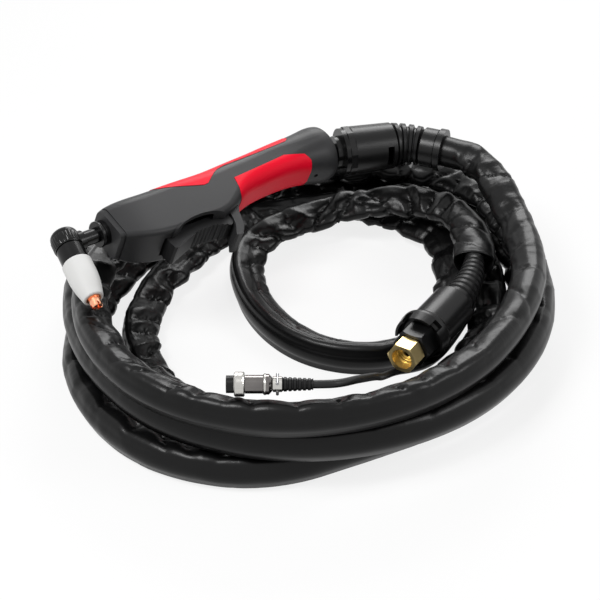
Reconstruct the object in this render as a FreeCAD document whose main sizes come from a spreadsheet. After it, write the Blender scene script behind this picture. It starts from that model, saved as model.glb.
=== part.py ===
import FreeCAD, Part
import math
import os
import Sketcher
from FreeCAD import Placement, Rotation, Vector
from types import SimpleNamespace

# Hand plasma cutting torch with its sheathed lead wound into a coil. Millimetres, +Z up.
# The origin is the middle of the coil, on the surface that the coil lies on.
# Inside the torch and at each end of the lead, the local X axis runs along the piece.

SIZES = {
    # Lead
    "lead_dia": 23.0,
    "lead_rest_flat": 0.5,
    "lead_layer_gap": 0.45,
    "cable_dia": 5.0,
    "cable_offset": 10.6,
    # Clearances
    "seat_gap": 0.1,
    "ball_fit": 0.1,
    "turn_fit": 0.05,
    "free_gap": 0.3,
    # Handle stations, front to rear: run from the one before, crown, keel and half width
    "face_x": 31.0, "face_top": 11.0, "face_keel": 16.0, "face_half": 12.5,
    "nose_run": 7.0, "nose_top": 12.5, "nose_keel": 19.5, "nose_half": 14.5,
    "shoulder_run": 26.0, "shoulder_top": 12.4, "shoulder_keel": 28.0, "shoulder_half": 16.4,
    "trigger_run": 31.0, "trigger_top": 12.2, "trigger_keel": 28.5, "trigger_half": 16.4,
    "heel_run": 24.0, "heel_top": 12.6, "heel_keel": 27.0, "heel_half": 16.2,
    "waist_run": 22.0, "waist_top": 14.0, "waist_keel": 18.0, "waist_half": 15.8,
    "palm_run": 25.0, "palm_top": 15.4, "palm_keel": 13.8, "palm_half": 15.6,
    "grip_run": 24.0, "grip_top": 16.8, "grip_keel": 13.0, "grip_half": 16.0,
    "flare_run": 16.0, "flare_top": 18.2, "flare_keel": 15.2, "flare_half": 17.4,
    "collar_run": 12.0, "collar_top": 19.6, "collar_keel": 18.6, "collar_half": 19.4,
    "tail_run": 15.0, "tail_radius": 20.6,
    "crown_round": 9.0, "keel_edge": 3.5, "grip_round": 10.5, "collar_round": 17.0,
    "handle_wall": 2.6,
    "face_bead": 2.4, "face_groove_width": 1.3, "face_groove_depth": 0.8,
    # Soft inserts and their recess
    "insert_depth": 1.6,
    "insert_proud": 0.3,
    # Trigger, guard and switch
    "slot_setback": 4.0, "slot_tail": 1.0, "slot_half": 8.6,
    "arch_rise": 4.5, "arch_rim": 2.2, "arch_rim_proud": 0.7,
    "trigger_drop": 2.5, "trigger_heel_drop": 4.5, "trigger_pad_drop": 6.3, "trigger_sink": 23.0,
    "trigger_width": 16.2, "trigger_nose": 3.7, "trigger_play": 1.0,
    "trigger_ribs": 8, "trigger_rib_pitch": 3.6, "trigger_rib_radius": 1.15,
    "pivot_setback": 5.5, "pivot_drop": 22.0, "pivot_radius": 1.5, "pivot_half": 13.0, "pivot_ear": 4.0,
    "guard_width": 19.0, "guard_thick": 7.1, "guard_reach": 19.4, "guard_lean": 8.4,
    "switch_setback": 14.5, "switch_length": 14.0, "switch_height": 8.5, "switch_width": 6.2,
    "switch_floor": 20.0, "plunger_setback": 23.0, "plunger_radius": 1.2, "plunger_length": 4.6,
    # Handle screws
    "screw_radius": 1.4, "screw_head_radius": 2.7, "screw_head_height": 1.9, "boss_radius": 3.0,
    "screw_seat": 11.5, "keel_hole_radius": 1.5, "keel_hole_depth": 3.0,
    # Neck and gas tube
    "neck_radius": 5.2, "neck_bore": 3.0, "neck_front": 9.5, "neck_seat": 7.0,
    "neck_collar_radius": 9.0, "neck_collar_length": 6.0, "neck_collar_step": 1.0,
    "gas_tube_radius": 2.9, "gas_tube_bore": 2.0, "gas_tube_stop": 5.0,
    # Head, along its own axis
    "head_offset": 1.6, "head_lean": 103.4, "head_radius": 9.4, "head_crown": 10.4, "head_foot": 16.0,
    "head_crown_fillet": 4.2, "head_groove": 0.5, "head_step": 3.4, "head_boss_radius": 6.8, "head_boss_reach": 13.0,
    "spigot_radius": 7.2, "spigot_end": 27.0, "cathode_radius": 5.3, "cathode_start": 6.0,
    "electrode_radius": 3.2, "electrode_stub": 2.2, "electrode_stub_length": 7.0, "electrode_end": 44.4,
    "swirl_radius": 6.4, "swirl_length": 3.9,
    "nozzle_flange_radius": 6.4, "nozzle_flange_length": 2.6, "nozzle_radius": 4.8, "nozzle_shoulder": 47.0,
    "nozzle_tip_radius": 3.7, "nozzle_end": 53.4, "nozzle_cavity": 3.9, "nozzle_orifice": 0.6,
    "nozzle_slot": 1.2, "nozzle_slot_depth": 2.4,
    "cup_radius": 10.0, "cup_taper": 13.5, "cup_end": 46.5, "cup_nose_radius": 6.7, "cup_wall": 1.4,
    "cup_barrel_fillet": 60.0,
    "cup_thread_length": 8.6,
    # Ball joint and lead support
    "ball_radius": 14.6, "liner_wall": 1.3, "liner_front": 8.5, "liner_rear": 3.0,
    "socket_front": 13.0, "socket_rear": 6.5, "stem_radius": 7.0, "stem_bore": 5.2, "ball_flat": 9.0,
    "neck_start": 17.0, "neck_ring_radius": 12.6,
    "flange_start": 22.0, "flange_radius": 17.9, "flange_thick": 3.4,
    "lock_thick": 4.8, "lock_radius": 18.7, "lock_flats": 35.8,
    "sleeve_front": 18.5, "sleeve_back": 17.6, "sleeve_length": 32.6, "sleeve_wall": 2.4,
    "sleeve_slot_long": 5.0, "sleeve_slot_wide": 15.0,
    "bend_length": 26.5, "bend_turn": 40.35, "bend_front_radius": 17.2, "bend_back_radius": 14.4,
    "bend_ribs": 4, "bend_rib_depth": 2.0, "bend_bore": 10.5,
    "end_ring_radius": 14.9, "end_ring_length": 16.0, "end_flange_radius": 16.2, "end_flange_thick": 4.5,
    "end_socket_depth": 12.0, "end_groove": 1.2,
    # Power and gas coupling at the machine end
    "nut_flats": 19.0, "nut_length": 11.5, "nut_bore": 7.2, "nut_bore_depth": 6.5, "nut_throat": 5.0,
    "nut_shoulder": 2.2, "nut_chamfer": 1.1,
    "nipple_radius": 4.9, "nipple_bore": 2.0, "nipple_cone": 3.4, "nipple_cone_length": 0.8,
    "nipple_flange": 6.3, "nipple_flange_thick": 1.2,
    "hex_across": 27.0, "hex_length": 15.5, "hex_chamfer": 1.6,
    "barrel_radius": 15.4, "barrel_length": 44.5, "skirt_radius": 17.6, "skirt_reach": 4.5, "skirt_length": 15.0,
    "skirt_tabs": 5, "skirt_notch": 6.5, "skirt_notch_depth": 7.5,
    "boot_length": 59.5, "boot_turn": 24.6, "boot_front_radius": 12.4, "boot_back_radius": 7.1,
    "boot_ribs": 9, "boot_rib_depth": 1.5, "boot_bore": 4.6,
    # Control plug
    "plug_insert_radius": 5.2, "plug_insert_length": 14.0, "plug_nose_length": 4.4, "plug_insert_step": 0.5,
    "plug_pin_radius": 0.5, "plug_pins": 5,
    "plug_pin_circle": 2.9, "plug_ring_radius": 7.35, "plug_ring_start": 4.7, "plug_ring_length": 6.2,
    "plug_shell_radius": 5.5, "plug_shell_end": 21.7, "plug_collar_radius": 6.1, "plug_collar_end": 25.2,
    "plug_cone_end": 27.5, "plug_neck_radius": 3.6, "plug_clamp_length": 5.3, "plug_clamp_radius": 4.6,
    "plug_boot_length": 18.4, "plug_boot_front": 4.4, "plug_boot_back": 3.5, "plug_boot_ribs": 6,
    "plug_boot_rib_depth": 0.6,
    "plug_screw_radius": 0.9, "plug_screw_length": 9.6,
}

doc = FreeCAD.newDocument("plasma_torch")
sheet = doc.addObject("Spreadsheet::Sheet", "Sizes")
for row, (alias, value) in enumerate(SIZES.items(), start=1):
    sheet.set(f"A{row}", alias)
    sheet.set(f"B{row}", str(value))
    sheet.setAlias(f"B{row}", alias)
doc.recompute()


def words_of(value):
    return value.words if isinstance(value, Size) else f"({float(value)!r})"


class Size:
    """A number that keeps the sheet expression that it comes from."""

    def __init__(self, number, words):
        self.number = float(number)
        self.words = words

    def __float__(self):
        return self.number

    def __neg__(self):
        return Size(-self.number, f"(-{self.words})")

    def __add__(self, other):
        return Size(self.number + float(other), f"({self.words} + {words_of(other)})")

    def __sub__(self, other):
        return Size(self.number - float(other), f"({self.words} - {words_of(other)})")

    def __mul__(self, other):
        return Size(self.number * float(other), f"({self.words} * {words_of(other)})")

    def __truediv__(self, other):
        return Size(self.number / float(other), f"({self.words} / {words_of(other)})")

    def __radd__(self, other):
        return Size(float(other) + self.number, f"({words_of(other)} + {self.words})")

    def __rsub__(self, other):
        return Size(float(other) - self.number, f"({words_of(other)} - {self.words})")

    def __rmul__(self, other):
        return Size(float(other) * self.number, f"({words_of(other)} * {self.words})")


s = SimpleNamespace(**{name: Size(sheet.get(name), f"Sizes.{name}") for name in SIZES})
nodes = []

# Frames of the assembly
STATIONS = ("face", "nose", "shoulder", "trigger", "heel", "waist", "palm", "grip", "flare", "collar", "tail")
AT = {"face": s.face_x}
for before, name in zip(STATIONS, STATIONS[1:]):
    AT[name] = AT[before] + getattr(s, f"{name}_run")
BALL_X = AT["tail"] - s.socket_rear
NECK_REAR = s.face_x + s.neck_seat
TORCH = Placement(Vector(-153.2, -33, 94.7), Rotation(44.0, 4.4, -67.5))
BALL = TORCH.multVec(Vector(float(BALL_X), 0, 0))
SUPPORT = Placement(BALL, Rotation(18.35, 1.4, 0))
COUPLING = Placement(Vector(65.6, -84.9, 41.2), Rotation(57.75, -0.6, 0))
PLUG = Placement(Vector(-43.4, -158.5, 77.2), Rotation())
TURN = {"x": Rotation(Vector(0, 1, 0), 90), "y": Rotation(Vector(1, 0, 0), -90), "z": Rotation()}


def bind(thing, **values):
    for name, value in values.items():
        thing.setExpression(name, words_of(value))


def put(thing, x, y, z, turn=None):
    thing.Placement = Placement(Vector(float(x), float(y), float(z)), turn or Rotation())
    for axis, value in zip("xyz", (x, y, z)):
        thing.setExpression(f"Placement.Base.{axis}", words_of(value))
    return thing


def free(thing):
    """Let a primitive be placed by a frame in place of its own coordinates."""
    for axis in "xyz":
        thing.setExpression(f"Placement.Base.{axis}", None)


def finish(thing, label, placement=None):
    """Name a finished piece and set it in its place in the assembly."""
    thing.Label = label
    if placement:
        free(thing)
        thing.Placement = placement.multiply(thing.Placement)
    nodes.append(thing)
    return thing


def cylinder(name, radius, length, x=0, y=0, z=0, along="x"):
    made = doc.addObject("Part::Cylinder", name)
    bind(made, Radius=radius, Height=length)
    return put(made, x, y, z, TURN[along])


def box(name, x, y, z, long, wide, high):
    made = doc.addObject("Part::Box", name)
    bind(made, Length=long, Width=wide, Height=high)
    return put(made, x, y, z)


def sphere(name, radius, x=0, y=0, z=0):
    made = doc.addObject("Part::Sphere", name)
    bind(made, Radius=radius)
    return put(made, x, y, z)


def hexagon(name, flats, length, x=0):
    """Hexagonal bar along X with two flats level."""
    made = doc.addObject("Part::Prism", name)
    made.Polygon = 6
    bind(made, Circumradius=flats / math.sqrt(3), Height=length)
    return put(made, x, 0, 0, Rotation(Vector(1, 0, 0), 30).multiply(TURN["x"]))


def cut(name, base, *tools):
    made = doc.addObject("Part::Cut", name)
    made.Base = base
    made.Tool = tools[0] if len(tools) == 1 else fuse(name + "_tools", *tools)
    return made


def fuse(name, *shapes):
    made = doc.addObject("Part::MultiFuse", name)
    made.Shapes = list(shapes)
    return made


def common(name, *shapes):
    made = doc.addObject("Part::MultiCommon", name)
    made.Shapes = list(shapes)
    return made


def fixed(name, shape):
    """A free-form solid, worked out from the sheet's sizes."""
    made = doc.addObject("Part::Feature", name)
    made.Shape = shape
    return made


def turned(name, outline, bevels=(), fillets=()):
    """Body of revolution about X: outline holds (x, radius), bevels and fillets hold (size, x, radius)."""
    body = doc.addObject("PartDesign::Body", name)
    sketch = body.newObject("Sketcher::SketchObject", name + "_profile")
    plane = [f for f in body.Origin.OriginFeatures if f.Role == "XY_Plane"][0]
    sketch.AttachmentSupport = [(plane, "")]
    sketch.MapMode = "FlatFace"
    corners = [Vector(float(x), float(r), 0) for x, r in outline]
    count = len(corners)
    for i in range(count):
        sketch.addGeometry(Part.LineSegment(corners[i], corners[(i + 1) % count]))
    for i in range(count):
        sketch.addConstraint(Sketcher.Constraint("Coincident", i, 2, (i + 1) % count, 1))
    for i, (x, r) in enumerate(outline):
        for kind, value, axis in (("DistanceX", x, -2), ("DistanceY", r, -1)):
            if float(value) == 0:
                sketch.addConstraint(Sketcher.Constraint("PointOnObject", i, 1, axis))
                continue
            row = sketch.addConstraint(Sketcher.Constraint(kind, -1, 1, i, 1, float(value)))
            sketch.setExpression(f"Constraints[{row}]", words_of(value))
    spun = body.newObject("PartDesign::Revolution", name + "_turn")
    spun.Profile = sketch
    spun.ReferenceAxis = (sketch, ["H_Axis"])
    spun.Angle = 360
    dress(body, "PartDesign::Chamfer", "Size", bevels)
    dress(body, "PartDesign::Fillet", "Radius", fillets)
    return body


def dress(body, kind, setting, marks):
    for size, x, radius in marks:
        doc.recompute()
        base = body.Tip
        rings = [
            f"Edge{i}"
            for i, edge in enumerate(base.Shape.Edges, start=1)
            if isinstance(edge.Curve, Part.Circle)
            and abs(edge.Curve.Radius - float(radius)) < 0.01
            and abs(edge.Curve.Center.x - float(x)) < 0.01
        ]
        made = body.newObject(kind, f"{body.Name}_edge")
        made.Base = (base, rings)
        made.setExpression(setting, words_of(size))


def unit(vector):
    return Vector(vector) / vector.Length


def bulge(start, heading, end):
    """Middle point and radius of the arc that leaves start along heading and ends at end."""
    chord = end - start
    along = unit(chord)
    side = heading - along * heading.dot(along)
    half = math.asin(min(1.0, side.Length))
    middle = start + chord / 2 + unit(side) * (chord.Length / 2 * math.tan(half / 2))
    return middle, chord.Length / (2 * math.sin(half))


def biarc(start, leaving, end, arriving):
    """Two arcs that join start to end, smooth with both headings, and their radii."""
    gap = end - start
    turn = 2 * (1 - leaving.dot(arriving))
    pull = gap.dot(leaving + arriving)
    reach = (math.sqrt(pull * pull + turn * gap.dot(gap)) - pull) / turn
    joint = (start + end + (leaving - arriving) * reach) / 2
    first, first_radius = bulge(start, leaving, joint)
    second, second_radius = bulge(end, -arriving, joint)
    return [Part.Arc(start, first, joint), Part.Arc(joint, second, end)], [first_radius, second_radius]


def bent(turn_deg, length, share):
    """Frame at a share of an arc that starts along X and turns about Z."""
    turn = math.radians(turn_deg)
    if abs(turn) < 1e-9:
        return Placement(Vector(length * share, 0, 0), Rotation())
    radius = length / turn
    angle = turn * share
    place = Vector(radius * math.sin(angle), radius * (1 - math.cos(angle)), 0)
    return Placement(place, Rotation(math.degrees(angle), 0, 0))


def ring_at(frame, radius):
    ring = Part.Wire(Part.makeCircle(radius, Vector(0, 0, 0), Vector(1, 0, 0)))
    ring.Placement = frame
    return ring


def ribbed(length, turn_deg, first, last, ribs, depth, bore):
    """Moulded boot along an arc: raised ribs and valleys that taper from first to last, with a bore."""
    rings = [ring_at(bent(turn_deg, length, 0), first)]
    pitch = 1.0 / (ribs + 0.5)
    for rib in range(int(ribs)):
        for place, rise in ((0.30, 0.0), (0.45, 1.0), (0.95, 1.0), (1.10, 0.0)):
            share = pitch * (rib + place)
            radius = first + (last - first) * share - depth * (1 - rise)
            rings.append(ring_at(bent(turn_deg, length, share), radius))
    rings.append(ring_at(bent(turn_deg, length, 1), last))
    skin = Part.makeLoft(rings, True, True)
    steps = 6
    hole = [ring_at(bent(turn_deg, length, k / steps), bore) for k in range(steps + 1)]
    return skin.cut(Part.makeLoft(hole, True, True))


# Lead: stations around the coil as (distance from the middle, height), clockwise seen from above.
# Every turn passes the same bearings, and dips or climbs a layer behind the torch.
BEARINGS = (22.5, -22.5, -67.5, -112.5, -157.5, 157.5, 112.5, 67.5, 45.0)
FLOOR = float(s.lead_dia / 2 - s.lead_rest_flat)
SECOND = FLOOR + float(s.lead_dia + s.lead_layer_gap)
THIRD = SECOND + float(s.lead_dia + s.lead_layer_gap)
TURNS = (
    ((163.5, 60.5), (151.5, 58.4), (160, THIRD), (167, THIRD), (149, THIRD), (131, 54.5), (152, 38.5),
     (197, SECOND), (203, SECOND)),
    ((173.5, SECOND), (161.5, SECOND), (159.5, SECOND), (159.5, SECOND), (150.5, SECOND), (158.5, 34),
     (188, 15), (219.5, FLOOR), (210, FLOOR)),
    ((177, FLOOR), (147, FLOOR), (134, FLOOR), (168.5, FLOOR), (159, FLOOR), (143.5, FLOOR), (162, FLOOR),
     (193.5, FLOOR), (182.5, FLOOR)),
    ((150, FLOOR), (121.5, FLOOR), (107, FLOOR), (120, FLOOR), (115, FLOOR), (111, FLOOR), (136, FLOOR),
     (167, FLOOR), (156.5, FLOOR)),
)
FROM_SUPPORT = ((136.5, 119, 72), (145.5, 99, 68.3), (150, 78, 64.4))
INNER_LOOP = (
    (113.5, 84), (113.5, 52), (109, 20), (98, -6), (80, -28), (56, -39), (30, -39), (6, -29), (-14, -10),
    (-30, 18), (-39, 48), (-42, 77), (-38, 98),
)
TO_COUPLING = (
    (-24, 114, 13), (-2, 125, 18), (24, 132, 23), (48, 133.5, 28), (72, 132, 32), (95, 123.5, 36),
    (113, 104, 39.5), (124, 80, 42.5),
)
CABLE_ROUTE = (
    (125.2, 11, 27.5), (119, -1.5, 20), (110, -15, 12.5), (99, -31, 7.8), (87, -47, 8.5), (74.5, -61.5, 15.5),
    (62, -77, 25.5), (52.6, -93.2, 33), (47.5, -112, 48), (39, -130, 60), (33, -144, 69.5), (26, -154, 75),
    (17, -158.3, 77.1),
)

SLEEVE_START = s.flange_start + s.flange_thick + s.lock_thick
SLEEVE_END = SLEEVE_START + s.sleeve_length
BEND_START = SUPPORT.multiply(Placement(Vector(float(SLEEVE_END), 0, 0), Rotation()))
END_RING = BEND_START.multiply(bent(-float(s.bend_turn), float(s.bend_length), 1))
BARREL_END = s.nut_length + s.free_gap + s.hex_length + s.barrel_length
BOOT_START = COUPLING.multiply(Placement(Vector(float(BARREL_END), 0, 0), Rotation()))
BOOT_END = BOOT_START.multiply(bent(float(s.boot_turn), float(s.boot_length), 1))
FORWARD = Vector(1, 0, 0)


def lead_path():
    """Edges of the lead's middle line, from the support to the coupling, with the radii of its arcs."""
    dia = float(s.lead_dia)
    leaving = END_RING.Rotation.multVec(FORWARD)
    arriving = BOOT_END.Rotation.multVec(-FORWARD)
    start = END_RING.multVec(FORWARD * float(s.end_ring_length - s.end_socket_depth))
    end = BOOT_END.multVec(FORWARD * 0)
    points = [start, start + leaving * dia]
    points += [Vector(*place) for place in FROM_SUPPORT]
    for turn in TURNS:
        for bearing, (reach, height) in zip(BEARINGS, turn):
            angle = math.radians(bearing)
            points.append(Vector(reach * math.cos(angle), reach * math.sin(angle), height))
    points += [Vector(x, y, FLOOR) for x, y in INNER_LOOP]
    points += [Vector(*place) for place in TO_COUPLING]
    points += [end - arriving * dia, end]
    headings = [leaving, leaving]
    for before, here, after in zip(points[1:], points[2:-2], points[3:-1]):
        back = here - before
        on = after - here
        heading = unit(back) * on.Length + unit(on) * back.Length
        if here.z in (FLOOR, SECOND, THIRD):
            heading.z = 0
        headings.append(unit(heading))
    headings += [arriving, arriving]
    edges = [Part.LineSegment(points[0], points[1])]
    radii = []
    for i in range(1, len(points) - 2):
        pair, pair_radii = biarc(points[i], headings[i], points[i + 1], headings[i + 1])
        edges += pair
        radii += pair_radii
    edges.append(Part.LineSegment(points[-2], points[-1]))
    return [edge.toShape() for edge in edges], radii


def rounded_path(points):
    """Straight runs joined by tangent arcs, as large as the runs allow, with their radii."""
    edges = []
    radii = []
    last = points[0]
    for before, here, after in zip(points, points[1:], points[2:]):
        back = unit(before - here)
        on = unit(after - here)
        turn = math.pi - back.getAngle(on)
        reach = 0.45 * min((before - here).Length, (after - here).Length)
        radius = reach / math.tan(turn / 2)
        first = here + back * reach
        second = here + on * reach
        middle = here + unit(back + on) * (radius / math.cos(turn / 2) - radius)
        edges.append(Part.LineSegment(last, first).toShape())
        edges.append(Part.Arc(first, middle, second).toShape())
        radii.append(radius)
        last = second
    edges.append(Part.LineSegment(last, points[-1]).toShape())
    return edges, radii


def tube(edges, dia, heading):
    """Solid cord of one diameter along a smooth chain of edges."""
    wire = Part.Wire(edges)
    ring = Part.Wire(Part.makeCircle(dia / 2, wire.Vertexes[0].Point, heading))
    return wire.makePipeShell([ring], True, False)


def least_gap(edges, dia, apart):
    """Least clear distance between parts of a cord that lie further apart than a length along it."""
    samples = []
    run = 0.0
    for edge in edges:
        count = max(2, int(edge.Length / 3))
        for k in range(count):
            place = edge.valueAt(edge.FirstParameter + (edge.LastParameter - edge.FirstParameter) * k / count)
            samples.append((run + edge.Length * k / count, place))
        run += edge.Length
    cells = {}
    for along, place in samples:
        cells.setdefault(tuple(int(c // dia) for c in place), []).append((along, place))
    least = math.inf
    for (i, j, k), here in cells.items():
        near = []
        for a in (-1, 0, 1):
            for b in (-1, 0, 1):
                for c in (-1, 0, 1):
                    near += cells.get((i + a, j + b, k + c), [])
        for along, place in here:
            for other, place_2 in near:
                if other - along > apart:
                    least = min(least, place.distanceToPoint(place_2) - dia)
    return least


def lead_coil():
    dia = float(s.lead_dia)
    edges, radii = lead_path()
    solid = tube(edges, dia, END_RING.Rotation.multVec(FORWARD))
    length = sum(edge.Length for edge in edges)
    print(f"lead length {length:.0f} mm, volume over section times length",
          round(solid.Volume / (math.pi * dia * dia / 4 * length), 4))
    print("lead radii, tightest first:", [round(r) for r in sorted(radii)[:8]])
    print(f"lead least gap to itself {least_gap(edges, dia, 3 * dia):.2f} mm")
    table = Part.makeBox(600, 600, 50, Vector(-300, -300, -50))
    rested = max(solid.cut(table).Solids, key=lambda piece: piece.Volume)
    finish(fixed("lead_coil", rested), "lead_coil")


def control_cable():
    dia = float(s.cable_dia)
    offset = float(s.cable_offset)
    slant = math.radians(60)
    start = BOOT_END.multVec(Vector(0, -offset * math.cos(slant), -offset * math.sin(slant)))
    leaving = BOOT_END.Rotation.multVec(-FORWARD)
    end = PLUG.multVec(FORWARD * float(PLUG_END))
    points = [start, start + leaving * 1.6 * dia] + [Vector(*place) for place in CABLE_ROUTE] + [end]
    points[-2] = end + FORWARD * 1.9 * dia
    edges, radii = rounded_path(points)
    solid = tube(edges, dia, leaving)
    length = sum(edge.Length for edge in edges)
    print(f"cable length {length:.0f} mm, volume over section times length",
          round(solid.Volume / (math.pi * dia * dia / 4 * length), 4))
    print("cable radii:", [round(r) for r in radii])
    finish(fixed("control_cable", solid), "control_cable")


PLUG_CLAMP_START = s.plug_cone_end
PLUG_BOOT_START = PLUG_CLAMP_START + s.plug_clamp_length
PLUG_END = PLUG_BOOT_START + s.plug_boot_length


def control_plug():
    """Small round multi-pole plug with a knurled coupling ring, and its ribbed boot."""
    back = s.plug_insert_radius - s.plug_insert_step
    insert = fuse("insert_round", cylinder("insert_nose", s.plug_insert_radius, s.plug_nose_length),
                  cylinder("insert_back", back, s.plug_insert_length))
    holes = []
    for pin in range(int(SIZES["plug_pins"])):
        angle = 2 * math.pi * pin / SIZES["plug_pins"]
        y = s.plug_pin_circle * round(math.cos(angle), 6)
        z = s.plug_pin_circle * round(math.sin(angle), 6)
        holes.append(cylinder(f"insert_hole_{pin}", s.plug_pin_radius, s.plug_insert_length - 2, -1, y, z))
    finish(cut("insert", insert, *holes), "plug_insert", PLUG)
    ring = cylinder("ring_round", s.plug_ring_radius, s.plug_ring_length, s.plug_ring_start)
    edge = s.plug_ring_radius * 0.09
    ring = doc_edges("ring_bevels", ring, edge)
    front = s.plug_insert_radius + s.free_gap
    hole = cylinder("ring_hole", front, s.plug_ring_length + 2, s.plug_ring_start - 1)
    finish(cut("ring", ring, hole), "plug_ring", PLUG)
    start = s.plug_ring_start + s.plug_ring_length + s.free_gap
    inner = back + s.seat_gap
    shell = turned("shell", [
        (start, inner), (start, s.plug_shell_radius), (s.plug_shell_end, s.plug_shell_radius),
        (s.plug_shell_end, s.plug_collar_radius), (s.plug_collar_end, s.plug_collar_radius),
        (s.plug_cone_end, s.plug_neck_radius), (s.plug_cone_end, s.cable_dia / 2 + s.seat_gap),
        (s.plug_shell_end, s.cable_dia / 2 + s.seat_gap), (s.plug_shell_end - 2, inner),
    ], bevels=[(0.4, s.plug_shell_end, s.plug_collar_radius)])
    finish(shell, "plug_shell", PLUG)
    contacts = []
    for pin in range(int(SIZES["plug_pins"])):
        angle = 2 * math.pi * pin / SIZES["plug_pins"]
        y = s.plug_pin_circle * round(math.cos(angle), 6)
        z = s.plug_pin_circle * round(math.sin(angle), 6)
        contacts.append(cylinder(f"contact_{pin}", s.plug_pin_radius - s.turn_fit, s.plug_insert_length - 5,
                                 2, y, z))
    finish(fuse("contacts", *contacts), "plug_contacts", PLUG)
    grip = cylinder("clamp_round", s.plug_clamp_radius, s.plug_clamp_length, PLUG_CLAMP_START)
    split = box("clamp_split", PLUG_CLAMP_START - 1, -0.4, -10, s.plug_clamp_length + 2, 0.8, 20)
    hole = cylinder("clamp_hole", s.cable_dia / 2 + s.seat_gap, s.plug_clamp_length + 2, PLUG_CLAMP_START - 1)
    middle = PLUG_CLAMP_START + s.plug_clamp_length / 2
    side = s.cable_dia / 2 + s.plug_screw_radius + 0.35
    bores = []
    screws = []
    for name, z in (("upper", side), ("lower", -side)):
        bores.append(cylinder(f"clamp_bore_{name}", s.plug_screw_radius + s.turn_fit, 20, middle, -10, z, "y"))
        screws.append(cylinder(f"clamp_screw_{name}", s.plug_screw_radius, s.plug_screw_length, middle,
                               -s.plug_screw_length / 2, z, "y"))
    finish(cut("clamp", grip, split, hole, *bores), "plug_clamp", PLUG)
    finish(fuse("clamp_screw_pair", *screws), "clamp_screws", PLUG)
    boot = fixed("plug_boot_shape", ribbed(
        float(s.plug_boot_length), 0, float(s.plug_boot_front), float(s.plug_boot_back),
        SIZES["plug_boot_ribs"], float(s.plug_boot_rib_depth), float(s.cable_dia / 2 + s.seat_gap)))
    boot.Placement = Placement(Vector(float(PLUG_BOOT_START), 0, 0), Rotation())
    finish(boot, "plug_boot", PLUG)


def doc_edges(name, thing, size):
    """Bevel every round edge of a primitive."""
    doc.recompute()
    made = doc.addObject("Part::Chamfer", name)
    made.Base = thing
    rings = [i for i, edge in enumerate(thing.Shape.Edges, start=1) if isinstance(edge.Curve, Part.Circle)]
    made.Edges = [(i, float(size), float(size)) for i in rings]
    return made


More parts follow.
